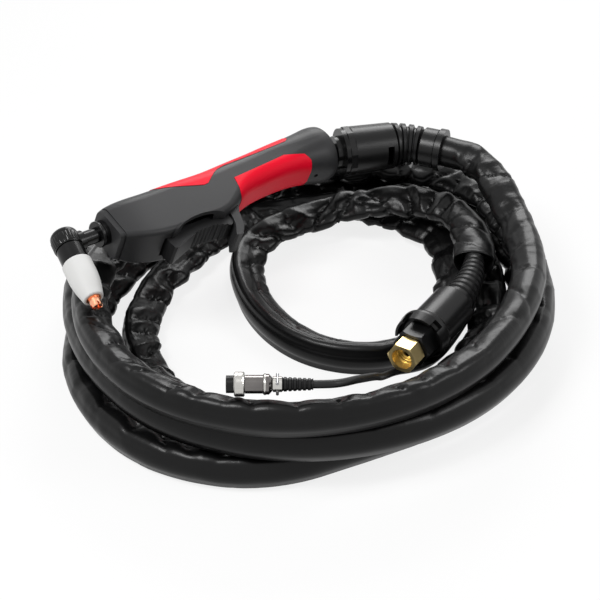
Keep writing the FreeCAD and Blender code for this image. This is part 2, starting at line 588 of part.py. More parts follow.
def coupling():
    """Brass union nut on its nipple, hexagonal insulator, lobed collar and ribbed boot."""
    nut = hexagon("nut_bar", s.nut_flats, s.nut_length)
    across = s.nut_flats / math.sqrt(3)
    round_off = turned("nut_round", [
        (0, 0), (0, across - s.nut_chamfer), (s.nut_chamfer * 0.6, across),
        (s.nut_length - s.nut_chamfer * 0.6, across), (s.nut_length, across - s.nut_chamfer), (s.nut_length, 0)])
    nut = common("nut_shape", nut, round_off)
    thread = cylinder("nut_thread", s.nut_bore, s.nut_bore_depth + 1, -1)
    room = cylinder("nut_room", s.nipple_flange + s.free_gap, s.nut_length - s.nut_shoulder - s.nut_bore_depth + 1,
                    s.nut_bore_depth - 1)
    throat = cylinder("nut_throat", s.nut_throat + s.turn_fit, s.nut_length, 1)
    finish(cut("nut", nut, thread, room, throat), "union_nut", COUPLING)
    flange_rear = s.nut_length - s.nut_shoulder - s.free_gap
    flange_front = flange_rear - s.nipple_flange_thick
    back = s.nut_length + s.free_gap + s.hex_length / 2
    tip = s.nut_bore_depth + s.free_gap
    nipple = turned("nipple", [
        (tip, s.nipple_bore), (tip, s.nipple_cone), (tip + s.nipple_cone_length, s.nipple_radius),
        (flange_front, s.nipple_radius), (flange_front, s.nipple_flange), (flange_rear, s.nipple_flange),
        (flange_rear, s.nut_throat), (back, s.nut_throat), (back, s.nipple_bore)])
    finish(nipple, "gas_nipple", COUPLING)
    hex_start = s.nut_length + s.free_gap
    bar = hexagon("insulator_bar", s.hex_across * (math.sqrt(3) / 2), s.hex_length, hex_start)
    half = s.hex_across / 2
    round_off = turned("insulator_round", [
        (hex_start, 0), (hex_start, half - s.hex_chamfer), (hex_start + s.hex_chamfer, half + 0.2),
        (hex_start + s.hex_length, half + 0.2), (hex_start + s.hex_length, 0)])
    bore = cylinder("insulator_bore", s.nut_throat + s.seat_gap, s.hex_length / 2 + 1, hex_start - 1)
    hose = cylinder("insulator_hose", s.boot_bore + s.seat_gap, s.hex_length, hex_start + s.hex_length / 2 + 1)
    finish(cut("insulator", common("insulator_shape", bar, round_off), bore, hose), "hex_insulator", COUPLING)
    barrel_start = hex_start + s.hex_length
    barrel = turned("barrel_round", [
        (barrel_start, s.boot_bore), (barrel_start, s.barrel_radius - 1.5), (barrel_start + 1.5, s.barrel_radius),
        (BARREL_END - 1, s.barrel_radius), (BARREL_END, s.barrel_radius - 1), (BARREL_END, s.boot_bore)])
    reach = barrel_start - s.skirt_reach
    skirt_end = reach + s.skirt_length
    skirt = turned("skirt_round", [
        (reach, s.skirt_radius - 1.6), (reach, s.skirt_radius), (reach + s.skirt_notch_depth, s.skirt_radius + 1),
        (reach + s.skirt_notch_depth + 2, s.skirt_radius + 1), (skirt_end, s.barrel_radius - 0.2),
        (skirt_end - 1, s.barrel_radius - 1.2), (barrel_start + 2.5, s.barrel_radius - 1.2),
        (barrel_start + 2, s.skirt_radius - 1.6)])
    notches = []
    for tab in range(SIZES["skirt_tabs"]):
        angle = 360.0 * (tab + 0.5) / SIZES["skirt_tabs"]
        notch = box(f"skirt_notch_{tab}", 0, 0, 0, s.skirt_notch_depth, s.skirt_notch, 10)
        across = math.cos(math.radians(angle))
        rise = math.sin(math.radians(angle))
        low = s.skirt_radius - 4
        put(notch, reach - 1, -s.skirt_notch / 2 * across - low * rise,
            low * across - s.skirt_notch / 2 * rise, Rotation(Vector(1, 0, 0), angle))
        notches.append(notch)
    finish(fuse("collar_and_barrel", barrel, cut("skirt", skirt, *notches)), "lobed_collar", COUPLING)
    boot = fixed("machine_boot_shape", ribbed(
        float(s.boot_length), float(s.boot_turn), float(s.boot_front_radius), float(s.boot_back_radius),
        SIZES["boot_ribs"], float(s.boot_rib_depth), float(s.boot_bore)))
    finish(boot, "machine_boot", BOOT_START)


def lead_support():
    """Swivel ball on its hollow stem, lock ring, sleeve, ribbed bend and the ring that holds the lead."""
    ball = sphere("ball_sphere", s.ball_radius)
    stem = cylinder("ball_stem", s.stem_radius, s.flange_start + s.flange_thick / 2)
    flange = cylinder("ball_flange", s.flange_radius, s.flange_thick, s.flange_start)
    neck = cylinder("ball_neck", s.neck_ring_radius, s.flange_start - s.neck_start + 1, s.neck_start)
    front = box("ball_front", -s.ball_flat - 30, -30, -30, 30, 60, 60)
    bore = cylinder("ball_bore", s.stem_bore, 60, -30)
    finish(cut("ball", fuse("ball_and_stem", ball, stem, neck, flange), front, bore), "swivel_ball", SUPPORT)
    lock_start = s.flange_start + s.flange_thick
    lock = cylinder("lock_round", s.lock_radius, s.lock_thick, lock_start)
    flats = doc.addObject("Part::Prism", "lock_flats")
    flats.Polygon = 8
    bind(flats, Circumradius=s.lock_flats / 2 / math.cos(math.pi / 8), Height=s.lock_thick)
    put(flats, lock_start, 0, 0, Rotation(Vector(1, 0, 0), 22.5).multiply(TURN["x"]))
    hole = cylinder("lock_hole", s.stem_radius + 5, s.lock_thick + 2, lock_start - 1)
    finish(cut("lock", common("lock_shape", lock, flats), hole), "lock_ring", SUPPORT)
    sleeve = turned("sleeve_round", [
        (SLEEVE_START, s.stem_radius + 5), (SLEEVE_START, s.sleeve_front), (SLEEVE_END, s.sleeve_back),
        (SLEEVE_END, s.sleeve_back - s.sleeve_wall),
        (SLEEVE_START + s.sleeve_wall, s.sleeve_front - s.sleeve_wall),
        (SLEEVE_START + s.sleeve_wall, s.stem_radius + 5)])
    slot = box("sleeve_slot", SLEEVE_END - s.sleeve_slot_long - 3, -25, -s.sleeve_slot_wide / 2,
               s.sleeve_slot_long, 15, s.sleeve_slot_wide)
    finish(cut("sleeve", sleeve, slot), "support_sleeve", SUPPORT)
    bend = fixed("support_bend_shape", ribbed(
        float(s.bend_length), -float(s.bend_turn), float(s.bend_front_radius), float(s.bend_back_radius),
        SIZES["bend_ribs"], float(s.bend_rib_depth), float(s.bend_bore)))
    finish(bend, "support_bend", BEND_START)
    long = s.end_ring_length
    deep = long - s.end_socket_depth
    grip = s.lead_dia / 2 + s.seat_gap
    flange = long - s.end_flange_thick
    groove = flange - s.end_groove
    ring = turned("end_ring_round", [
        (0, s.bend_bore), (0, s.end_ring_radius), (groove, s.end_ring_radius), (groove, s.end_ring_radius - 0.9),
        (flange, s.end_ring_radius - 0.9), (flange, s.end_flange_radius), (long, s.end_flange_radius), (long, grip),
        (deep, grip), (deep, s.bend_bore)])
    finish(ring, "support_end_ring", END_RING)


AT_BALL = TORCH.multiply(Placement(Vector(float(BALL_X), 0, 0), Rotation()))
SWING_INSIDE = s.ball_radius + s.ball_fit
SWING_OUTSIDE = SWING_INSIDE + s.liner_wall
LIFT_INSIDE = SWING_OUTSIDE + s.ball_fit
LIFT_OUTSIDE = LIFT_INSIDE + s.liner_wall
SOCKET = LIFT_OUTSIDE + s.ball_fit
BULKHEAD = BALL_X - s.socket_front - s.handle_wall


def ball_liners():
    """Two nested shells: the inner one swings on the ball, the outer one lifts on the inner one."""
    for name, inside, outside in (("swing_liner", SWING_INSIDE, SWING_OUTSIDE),
                                  ("lift_liner", LIFT_INSIDE, LIFT_OUTSIDE)):
        shell = cut(name + "_shell", sphere(name + "_outside", outside), sphere(name + "_inside", inside))
        band = box(name + "_band", -s.liner_front, -30, -30, s.liner_front + s.liner_rear, 60, 60)
        finish(common(name + "_zone", shell, band), name, AT_BALL)


# Corner radii of the handle's section: along the crown and along the keel
ROUNDS = {
    "face": (s.crown_round * 0.7, s.keel_edge), "nose": (s.crown_round * 0.85, s.keel_edge),
    "shoulder": (s.crown_round, s.keel_edge), "trigger": (s.crown_round, s.keel_edge),
    "heel": (s.grip_round, s.keel_edge * 1.4), "waist": (s.grip_round, s.grip_round * 0.85),
    "palm": (s.grip_round, s.grip_round), "grip": (s.grip_round, s.grip_round),
    "flare": (s.collar_round * 0.8, s.collar_round * 0.8), "collar": (s.collar_round, s.collar_round),
    "tail": (s.tail_radius, s.tail_radius),
}


def half_ring(name, grow, side, beyond):
    """One side of a station's rounded rectangle, grown all round and closed just past the parting plane."""
    place = float(AT[name])
    sides = [s.tail_radius] * 3 if name == "tail" else [getattr(s, f"{name}_{key}") for key in ("top", "keel", "half")]
    top, keel, half = (float(size) + grow for size in sides)
    limit = min(half, (top + keel) / 2) - 0.2
    crown, edge = (min(max(float(corner) + grow, 0.6), limit) for corner in ROUNDS[name])
    inset = 1 - math.sqrt(0.5)
    outline = [(-beyond, top), (half - crown, top), (half - crown * inset, top - crown * inset),
               (half, top - crown), (half, edge - keel), (half - edge * inset, edge * inset - keel),
               (half - edge, -keel), (-beyond, -keel)]
    at = [Vector(place, side * y, z) for y, z in outline]
    edges = [Part.makeLine(at[0], at[1]), Part.Arc(at[1], at[2], at[3]).toShape(), Part.makeLine(at[3], at[4]),
             Part.Arc(at[4], at[5], at[6]).toShape(), Part.makeLine(at[6], at[7]), Part.makeLine(at[7], at[0])]
    return Part.Wire(edges)


def half_loft(grow, side, beyond=0.0):
    return Part.makeLoft([half_ring(name, grow, side, beyond) for name in STATIONS], True, False)


def slab(outline, half, side=0, inset=0.0):
    """Prism across the handle, or across one side of it, from a side outline of (x, z) corners.
    A corner with four numbers is an arc through the first two to the last two."""
    start = 0 if side > 0 else -half
    corners = [Vector(c[-2], start, c[-1]) for c in outline]
    edges = []
    for i, c in enumerate(outline):
        before = corners[i - 1]
        if len(c) == 4:
            edges.append(Part.Arc(before, Vector(c[0], start, c[1]), corners[i]).toShape())
        else:
            edges.append(Part.makeLine(before, corners[i]))
    face = Part.Face(Part.Wire(edges))
    if inset:
        face = face.makeOffset2D(-inset, 2)
    return face.extrude(Vector(0, half if side else 2 * half, 0))


def cross_bar(x, z, radius, half, side=0):
    """Round bar across the handle, or across one side of it."""
    start = 0 if side > 0 else -half
    return Part.makeCylinder(radius, half if side else 2 * half, Vector(x, start, z), Vector(0, 1, 0))


def long_bar(radius, start, end):
    """Round bar along the handle, with its seam clear of the parting plane."""
    bar = Part.makeCylinder(radius, end - start)
    bar.Placement = Placement(Vector(start, 0, 0), Rotation(Vector(1, 0, 0), 40).multiply(TURN["x"]))
    return bar


def side_outline(table):
    """Side outline from rows of a station, a run past it and a height."""
    return tuple((float(AT[name]) + run, height) for name, run, height in table)


TOP_INSERT = (
    ("shoulder", 10.5, 40), ("shoulder", 10.5, 12.0), ("shoulder", 14.8, 7.7), ("heel", -7.5, -2.6),
    ("heel", -3.5, -2.3), ("heel", 7.7, 4.9), ("heel", 13.0, 7.3), ("waist", -2.2, 8.5), ("flare", -6.1, 9.7),
    ("flare", -2.6, 11.6), ("flare", -1.6, 40),
)
LOWER_INSERT = (
    ("waist", -3.4, -4.9), ("palm", 3.7, -2.5), ("grip", -1.2, -1.2), ("flare", -1.0, -6.6), ("flare", 3.0, -12),
    ("flare", 3.0, -40), ("heel", 14.5, -40), ("heel", 15.0, -18),
)
SCREW_PLACES = tuple((AT[name] + run, height) for name, run, height in (
    ("nose", 10.0, -11.0), ("heel", 8.8, -10.5), ("palm", 14.0, 6.2), ("flare", 1.0, 6.2)))
SLOT_FRONT = AT["shoulder"] - s.slot_setback
SLOT_REAR = AT["heel"] - s.slot_tail
PIVOT_X = SLOT_FRONT + s.pivot_setback


def arch_outline(grow):
    """Side outline of the arched opening over the trigger, grown all round."""
    front = float(SLOT_FRONT) + 5.5 - grow
    rear = float(SLOT_REAR) - 5.0 + grow
    keel = -float(s.trigger_keel) - 1.5
    apex = keel + 1.5 + float(s.arch_rise) + grow
    return ((front, keel), ((front + rear) / 2, apex, rear, keel), (rear, -60), (front, -60))


def handle():
    """Moulded handle in two halves, with its inserts' recesses, trigger slot, guard and ball socket."""
    wall = float(s.handle_wall)
    depth = float(s.insert_depth)
    width = float(s.trigger_half) + 10
    gap = float(s.seat_gap) * 1.5
    for label, table in (("grip_insert_top", TOP_INSERT), ("grip_insert_lower", LOWER_INSERT)):
        skins = []
        for side in (-1, 1):
            skin = half_loft(float(s.insert_proud), side).cut(half_loft(float(s.seat_gap) - depth, side, 1.0))
            skins.append(skin.common(slab(side_outline(table), width, side, gap)))
        finish(fixed(label + "_shape", skins[0].fuse(skins[1]).removeSplitter()), label, TORCH)
    half = float(s.pivot_half)
    ear = float(s.pivot_ear)
    pivot_x = float(PIVOT_X)
    pivot_z = -float(s.pivot_drop)
    ear_outline = ((pivot_x - ear, pivot_z - 8), (pivot_x - ear, pivot_z),
                   (pivot_x, pivot_z + ear, pivot_x + ear, pivot_z), (pivot_x + ear, pivot_z - 8))
    slot_half = float(s.slot_half)
    slot = Part.makeBox(float(SLOT_REAR - SLOT_FRONT), 2 * slot_half, 44, Vector(float(SLOT_FRONT), -slot_half, -60))
    front = float(SLOT_REAR + s.free_gap)
    rear = front + float(s.guard_thick)
    lean = front - float(s.guard_lean)
    drop = -float(s.heel_keel + s.guard_reach)
    guard_outline = (
        (front, -20), (rear + 4.5, -17), (rear + 3.0, drop + 21.7), (rear, drop + 17.2), (rear - 2.8, drop + 10.1),
        (rear - 4.7, drop + 5.9), (lean + 5.4, drop), (lean + 1.5, drop + 0.2), (lean, drop + 1.2),
        (front - 2.7, drop + 9.2), (front - 0.8, drop + 14.5), (front, drop + 18.5),
    )
    bulkhead = float(BULKHEAD)
    face = float(AT["face"])
    tail = float(AT["tail"])
    room = Part.makeBox(bulkhead - face - wall, 80, 80, Vector(face + wall, -40, -40))
    groove = Part.makeBox(float(s.face_groove_width), 80, 80, Vector(face + float(s.face_bead), -40, -40))
    tools = [
        cross_bar(pivot_x, pivot_z, float(s.pivot_radius + s.turn_fit), half),
        long_bar(float(s.neck_radius + s.seat_gap), face - 1, float(NECK_REAR) + 2),
        long_bar(float(s.stem_bore) + 5, bulkhead - 3, tail),
        Part.makeCylinder(float(s.keel_hole_radius), 30, Vector(
            float(AT["collar"]) - 3, 0, float(s.keel_hole_depth - s.collar_keel) - 30)),
    ]
    centre = float(BALL_X)
    reach = float(s.socket_front)
    socket = Part.makeSphere(float(SOCKET), Vector(centre, 0, 0), Vector(0, 1, 0))
    tools.append(socket.common(Part.makeBox(reach + 40, 60, 60, Vector(centre - reach, -30, -30))))
    head = float(s.screw_head_radius) + 0.15
    seat = float(s.screw_seat)
    for x, z in SCREW_PLACES:
        at = Vector(float(x), -10, z)
        tools.append(Part.makeCylinder(float(s.screw_radius + s.turn_fit), 30, at, Vector(0, 1, 0)))
        at.y = seat
        tools.append(Part.makeCylinder(head, 20, at, Vector(0, 1, 0)))
    for label, side in (("handle_right", -1), ("handle_left", 1)):
        skin = half_loft(0, side)
        hollow = half_loft(-wall, side, 1.0)
        solid = skin.cut(hollow.common(room))
        inside = half_loft(-0.6, side)
        added = [cross_bar(float(x), z, float(s.boss_radius), 40, side).common(inside) for x, z in SCREW_PLACES]
        added.append(slab(ear_outline, half + 2, side).common(inside))
        core = half_loft(-depth, side, 1.0)
        for table in (TOP_INSERT, LOWER_INSERT):
            solid = solid.cut(slab(side_outline(table), width, side).cut(core))
        for piece in added:
            solid = solid.fuse(piece)
        rim = slab(arch_outline(float(s.arch_rim)), width, side).common(half_loft(float(s.arch_rim_proud), side))
        solid = solid.fuse(rim.cut(hollow))
        solid = solid.cut(groove.cut(half_loft(-float(s.face_groove_depth), side, 1.0)))
        solid = solid.cut(slot).cut(slab(arch_outline(0.0), 40))
        solid = solid.fuse(slab(guard_outline, float(s.guard_width) / 2, side).cut(hollow))
        for tool in tools:
            solid = solid.cut(tool)
        finish(fixed(label + "_shape", solid), label, TORCH)
    screws = []
    for i, (x, z) in enumerate(SCREW_PLACES):
        screws.append(cylinder(f"screw_shank_{i}", s.screw_radius, s.screw_seat + 9.5, x, -9.5, z, "y"))
        screws.append(cylinder(f"screw_head_{i}", s.screw_head_radius, s.screw_head_height, x,
                               s.screw_seat + s.turn_fit, z, "y"))
    finish(fuse("screw_set", *screws), "handle_screws", TORCH)


def trigger_and_switch():
    """Trigger on its pin, with a ribbed pad, and the switch whose plunger it presses."""
    pivot_x = float(PIVOT_X)
    pivot_z = -float(s.pivot_drop)
    front = pivot_x - float(s.trigger_nose)
    rear = float(SLOT_REAR - s.trigger_play)
    top = -float(s.trigger_sink)
    keel = float(s.trigger_keel)
    middle = -keel - float(s.trigger_drop)
    pad = middle - float(s.trigger_pad_drop)
    heel = middle - float(s.trigger_heel_drop)
    ear = float(s.pivot_radius) + 1.6
    rise = rear - 15.0
    body = slab((
        (front, middle - 1), (front, pivot_z), (pivot_x, pivot_z + ear, pivot_x + ear, pivot_z),
        (pivot_x + ear + 1, top), (rear - 0.6, top), (rear, top - 4), (rear, middle - 0.5),
        (rear - 1.2, heel + 1.2, rear - 3, heel), (rear - 5, heel + 0.5), (rise, middle), (rise - 16, middle),
        (front + 4.5, pad + 0.4), (front + 2.4, pad), (front + 0.8, pad + 1.2),
    ), float(s.trigger_width) / 2)
    body = body.cut(cross_bar(pivot_x, pivot_z, float(s.pivot_radius + s.turn_fit), 12))
    slope = (middle - heel - 0.5) / (rear - 5 - rise)
    for rib in range(SIZES["trigger_ribs"]):
        x = rear - 6.5 - rib * float(s.trigger_rib_pitch)
        body = body.cut(cross_bar(x, middle - max(0.0, x - rise) * slope - 0.35, float(s.trigger_rib_radius), 12))
    finish(fixed("trigger_shape", body), "trigger", TORCH)
    pin = cylinder("pin", s.pivot_radius, 2 * s.pivot_half - 0.2, PIVOT_X, -s.pivot_half + 0.1, -s.pivot_drop, "y")
    finish(pin, "trigger_pin", TORCH)
    case = box("switch_box", PIVOT_X + s.switch_setback, -s.switch_width / 2, -s.switch_floor, s.switch_length,
               s.switch_width, s.switch_height)
    plunger_x = PIVOT_X + s.plunger_setback
    well = cylinder("switch_well", s.plunger_radius + s.turn_fit, s.plunger_length + 1, plunger_x, 0,
                    -s.switch_floor - 0.5, "z")
    finish(cut("switch", case, well), "microswitch", TORCH)
    plunger = cylinder("plunger", s.plunger_radius, s.plunger_length, plunger_x, 0, s.free_gap - s.trigger_sink, "z")
    finish(plunger, "switch_plunger", TORCH)


HEAD = TORCH.multiply(Placement(Vector(float(s.head_offset), 0, 0),
                                Rotation(Vector(0, 1, 0), float(s.head_lean))))
HEAD_IN_TORCH = TORCH.inverse().multiply(HEAD)


def head():
    """Torch head: moulded body, cathode, electrode, swirl ring, nozzle and shield cup on one axis."""
    crown = s.head_radius + 0.2
    lower = s.head_radius - 0.1
    core = turned("head_core", [
        (-s.head_crown, 0), (-s.head_crown, crown), (s.head_step, crown), (s.head_step, lower - s.head_groove),
        (s.head_step + 1, lower - s.head_groove), (s.head_step + 1, lower), (s.head_foot, lower),
        (s.head_foot, s.spigot_radius), (s.spigot_end, s.spigot_radius),
        (s.spigot_end, s.cathode_radius + s.seat_gap), (s.cathode_start, s.cathode_radius + s.seat_gap),
        (s.cathode_start, 0),
    ], fillets=[(s.head_crown_fillet, -s.head_crown, crown)])
    core.Placement = HEAD_IN_TORCH
    boss = cylinder("head_boss", s.head_boss_radius, s.head_boss_reach - s.head_offset, s.head_offset)
    inner = cylinder("head_boss_inner", s.head_radius - 1, s.head_crown + s.head_foot - 4, 0)
    free(inner)
    inner.Placement = HEAD_IN_TORCH.multiply(Placement(Vector(float(-s.head_crown + 2), 0, 0), TURN["x"]))
    outside = cut("head_boss_outside", boss, inner)
    neck_hole = cylinder("head_neck_hole", s.neck_radius + s.seat_gap, 20, s.neck_front)
    finish(cut("head_shell", fuse("head_and_boss", core, outside), neck_hole), "head_body", TORCH)
    neck = cylinder("neck_round", s.neck_radius, NECK_REAR - s.neck_front, s.neck_front)
    neck_bore = cylinder("neck_bore", s.neck_bore, NECK_REAR, s.neck_front - 1)
    finish(cut("neck", neck, neck_bore), "neck_tube", TORCH)
    collar_start = s.face_x - s.neck_collar_length - s.seat_gap
    grip = s.neck_radius + s.seat_gap
    collar_end = s.face_x - s.seat_gap
    low = s.neck_collar_radius - s.neck_collar_step
    disc = collar_start + s.neck_collar_length / 3
    collar = turned("neck_collar_round", [
        (collar_start, grip), (collar_start, s.neck_collar_radius), (disc, s.neck_collar_radius), (disc, low),
        (disc + 1, low), (disc + 1, s.neck_collar_radius - 0.4), (collar_end, s.neck_collar_radius - 0.4),
        (collar_end, grip)], bevels=[(0.5, collar_start, s.neck_collar_radius)])
    finish(collar, "neck_collar", TORCH)
    gas = cylinder("gas_round", s.gas_tube_radius, BULKHEAD - s.gas_tube_stop - NECK_REAR, NECK_REAR)
    gas_bore = cylinder("gas_bore", s.gas_tube_bore, BULKHEAD, NECK_REAR - 1)
    finish(cut("gas", gas, gas_bore), "gas_tube", TORCH)
    stub = s.spigot_end - s.electrode_stub_length
    cathode = turned("cathode", [
        (s.cathode_start + 0.2, 0), (s.cathode_start + 0.2, s.cathode_radius),
        (s.spigot_end - 0.2, s.cathode_radius), (s.spigot_end - 0.2, s.electrode_stub + s.turn_fit),
        (stub - 0.3, s.electrode_stub + s.turn_fit), (stub - 0.3, 0)])
    finish(cathode, "cathode_body", HEAD)
    electrode = turned("electrode_round", [
        (stub, 0), (stub, s.electrode_stub), (s.spigot_end, s.electrode_stub),
        (s.spigot_end, s.electrode_radius), (s.electrode_end, s.electrode_radius), (s.electrode_end, 0),
    ], fillets=[(s.electrode_radius * 0.6, s.electrode_end, s.electrode_radius)])
    finish(electrode, "electrode", HEAD)
    swirl_start = s.spigot_end + s.seat_gap
    swirl = cylinder("swirl_round", s.swirl_radius, s.swirl_length, swirl_start)
    swirl_bore = cylinder("swirl_bore", s.electrode_radius + s.seat_gap, s.swirl_length + 2, swirl_start - 1)
    jets = []
    for jet in range(4):
        made = cylinder(f"swirl_jet_{jet}", 0.5, 10, 0, 0, 0, "y")
        angle = 90 * jet
        side = Vector(0, math.cos(math.radians(angle)), math.sin(math.radians(angle))) * 2.4
        put(made, swirl_start + s.swirl_length / 2, side.y, side.z,
            Rotation(Vector(1, 0, 0), angle + 90).multiply(TURN["y"]))
        jets.append(made)
    finish(cut("swirl", swirl, swirl_bore, *jets), "swirl_ring", HEAD)


NOZZLE_START = s.spigot_end + s.swirl_length + s.seat_gap + s.free_gap
NOZZLE_REST = NOZZLE_START + s.nozzle_flange_length


def nozzle_and_cup():
    """Copper nozzle, held up by the shield cup that screws on to the head."""
    nozzle = turned("nozzle_round", [
        (NOZZLE_START, s.nozzle_cavity), (NOZZLE_START, s.nozzle_flange_radius),
        (NOZZLE_REST, s.nozzle_flange_radius), (NOZZLE_REST, s.nozzle_radius),
        (s.nozzle_shoulder, s.nozzle_radius), (s.nozzle_shoulder, s.nozzle_tip_radius),
        (s.nozzle_end - 0.5, s.nozzle_tip_radius), (s.nozzle_end, s.nozzle_tip_radius - 0.5),
        (s.nozzle_end, 1.6), (s.nozzle_end - s.nozzle_slot_depth, 1.6),
        (s.nozzle_end - s.nozzle_slot_depth, s.nozzle_orifice),
        (s.electrode_end + 2, s.nozzle_orifice), (s.electrode_end + 0.8, s.nozzle_cavity)])
    slots = []
    for name, wide, high in (("level", 12, s.nozzle_slot), ("upright", s.nozzle_slot, 12)):
        slots.append(box(f"nozzle_slot_{name}", s.nozzle_end - s.nozzle_slot_depth, -wide / 2, -high / 2,
                         s.nozzle_slot_depth + 1, wide, high))
    finish(cut("nozzle", nozzle, *slots), "nozzle_tip", HEAD)
    mouth = s.head_foot + s.free_gap
    insert = s.cup_radius - s.cup_wall
    ledge = NOZZLE_REST + s.free_gap
    room = s.nozzle_flange_radius + s.free_gap
    cup = turned("cup_round", [
        (mouth, insert), (mouth, s.cup_radius), (s.cup_end - s.cup_taper, s.cup_radius),
        (s.cup_end, s.cup_nose_radius),
        (s.cup_end, s.nozzle_radius + s.free_gap), (ledge, s.nozzle_radius + s.free_gap), (ledge, room),
        (s.spigot_end + s.free_gap, room), (s.spigot_end + s.free_gap, insert),
    ], fillets=[(1.2, s.cup_end, s.cup_nose_radius), (0.6, mouth, s.cup_radius),
                (s.cup_barrel_fillet, s.cup_end - s.cup_taper, s.cup_radius)])
    finish(cup, "shield_cup", HEAD)
    thread = cylinder("cup_thread_round", insert - s.seat_gap, s.cup_thread_length, mouth + 0.8)
    hole = cylinder("cup_thread_hole", s.spigot_radius + s.turn_fit, s.cup_thread_length + 2, mouth)
    finish(cut("cup_thread_ring", thread, hole), "cup_thread", HEAD)


lead_coil()
control_cable()
control_plug()
coupling()
lead_support()
ball_liners()
handle()
trigger_and_switch()
head()
nozzle_and_cup()
doc.recompute()

faults = [thing.Name for thing in doc.Objects if "Invalid" in thing.State or "Error" in thing.State]
faults += [node.Label for node in nodes if node.Shape.isNull() or not node.Shape.isValid()]
if faults:
    raise SystemExit(f"failed: {faults}")
os.makedirs("parts", exist_ok=True)
for node in nodes:
    node.Shape.exportStep(f"parts/{node.Label}.step")
    print(node.Label, len(node.Shape.Solids), round(node.Shape.Volume))
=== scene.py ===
import bisect
import math
import random
import bpy
from mathutils import Matrix, Vector, noise


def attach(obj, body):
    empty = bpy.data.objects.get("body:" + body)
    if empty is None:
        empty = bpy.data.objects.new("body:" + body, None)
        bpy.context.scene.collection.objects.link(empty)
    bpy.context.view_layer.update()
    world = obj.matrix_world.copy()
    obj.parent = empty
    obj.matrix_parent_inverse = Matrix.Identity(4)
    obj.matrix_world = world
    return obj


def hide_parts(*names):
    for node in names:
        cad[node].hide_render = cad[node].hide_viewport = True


# Hand plasma cutting torch with its sheathed lead. Metres, +Z up, the coil's middle at the origin.

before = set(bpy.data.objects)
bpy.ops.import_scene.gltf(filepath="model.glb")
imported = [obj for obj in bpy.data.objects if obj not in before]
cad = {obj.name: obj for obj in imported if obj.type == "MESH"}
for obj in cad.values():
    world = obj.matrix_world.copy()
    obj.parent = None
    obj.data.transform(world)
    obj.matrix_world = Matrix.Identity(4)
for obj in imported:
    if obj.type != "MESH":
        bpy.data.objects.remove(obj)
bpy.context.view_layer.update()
millimetre = 0.001
tiny = 1e-9  # least length that anything is divided by
print("frame loaded:", len(cad), "nodes")

# Camera
cameraSettings = {
    "target": (0.0, 0.0, 0.030), "distance": 0.990, "elevation": 34.0,  # metres and degrees
    "lens": 85.0, "sensor": 36.0,  # millimetres
}


def placeCamera(s):
    data = bpy.data.cameras.new("camera")
    data.lens = s["lens"]
    data.sensor_width = s["sensor"]
    lift = math.radians(s["elevation"])
    camera = bpy.data.objects.new("camera", data)
    camera.location = Vector(s["target"]) + s["distance"] * Vector((0, -math.cos(lift), math.sin(lift)))
    camera.rotation_euler = (math.pi / 2 - lift, 0, 0)
    bpy.context.scene.collection.objects.link(camera)
    bpy.context.scene.camera = camera


placeCamera(cameraSettings)
bpy.context.scene.view_settings.view_transform = "Standard"
print("camera placed")


# Shader helpers
class Reading:  # a shader value that can be used in sums
    def __init__(self, finish, socket):
        self.finish = finish
        self.socket = socket

    def sum(self, kind, first, second):
        return self.finish.sum(kind, first, second)

    def __add__(self, other):
        return self.sum("ADD", self, other)

    def __radd__(self, other):
        return self.sum("ADD", other, self)

    def __sub__(self, other):
        return self.sum("SUBTRACT", self, other)

    def __rsub__(self, other):
        return self.sum("SUBTRACT", other, self)

    def __mul__(self, other):
        return self.sum("MULTIPLY", self, other)

    def __rmul__(self, other):
        return self.sum("MULTIPLY", other, self)


class Finish:  # one material, or the room's light, built up from nodes
    def __init__(self, name, shader="Principled BSDF", world=False, **constants):
        self.material = (bpy.data.worlds if world else bpy.data.materials).new(name)
        self.material.use_nodes = True
        self.tree = self.material.node_tree
        self.shader = self.tree.nodes[shader]
        for socket, value in constants.items():
            self.set(socket.replace("_", " "), value)

    def join(self, socket, value):
        if isinstance(value, Reading):
            self.tree.links.new(value.socket, socket)
        else:
            socket.default_value = value

    def set(self, socket, value):
        self.join(self.shader.inputs[socket], value)

    def add(self, kind, settings=None, sockets=None, out=0):
        node = self.tree.nodes.new(kind)
        for key, value in (settings or {}).items():
            if key == "stops":
                ramp = node.color_ramp
                while len(ramp.elements) < len(value):
                    ramp.elements.new(0.5)
                for element, (place, colour) in zip(ramp.elements, value):
                    element.position = place
                    element.color = colour
            else:
                setattr(node, key, value)
        for key, value in (sockets or {}).items():
            self.join(node.inputs[key], value)
        return Reading(self, node.outputs[out])

    def sum(self, kind, first, second):
        return self.add("ShaderNodeMath", {"operation": kind}, {0: first, 1: second})

    def places(self, kind="Object"):
        return self.add("ShaderNodeTexCoord", out=kind)

    def noise(self, place, scale, detail=2.0, rough=0.5):
        return self.add("ShaderNodeTexNoise", None,
                        {"Vector": place, "Scale": scale, "Detail": detail, "Roughness": rough})

    def stretched(self, place, x, y, z):
        return self.add("ShaderNodeMapping", None, {"Vector": place, "Scale": (x, y, z)})

    def blend(self, factor, first, second):
        return self.add("ShaderNodeMix", {"data_type": "RGBA"}, {"Factor": factor, 6: first, 7: second}, 2)

    def bump(self, height, depth, strength=1.0):
        self.set("Normal", self.add("ShaderNodeBump", None,
                                    {"Height": height, "Distance": depth, "Strength": strength}))


coolTint = 1.04


def grey(level):
    return (level, level, level * coolTint, 1.0)


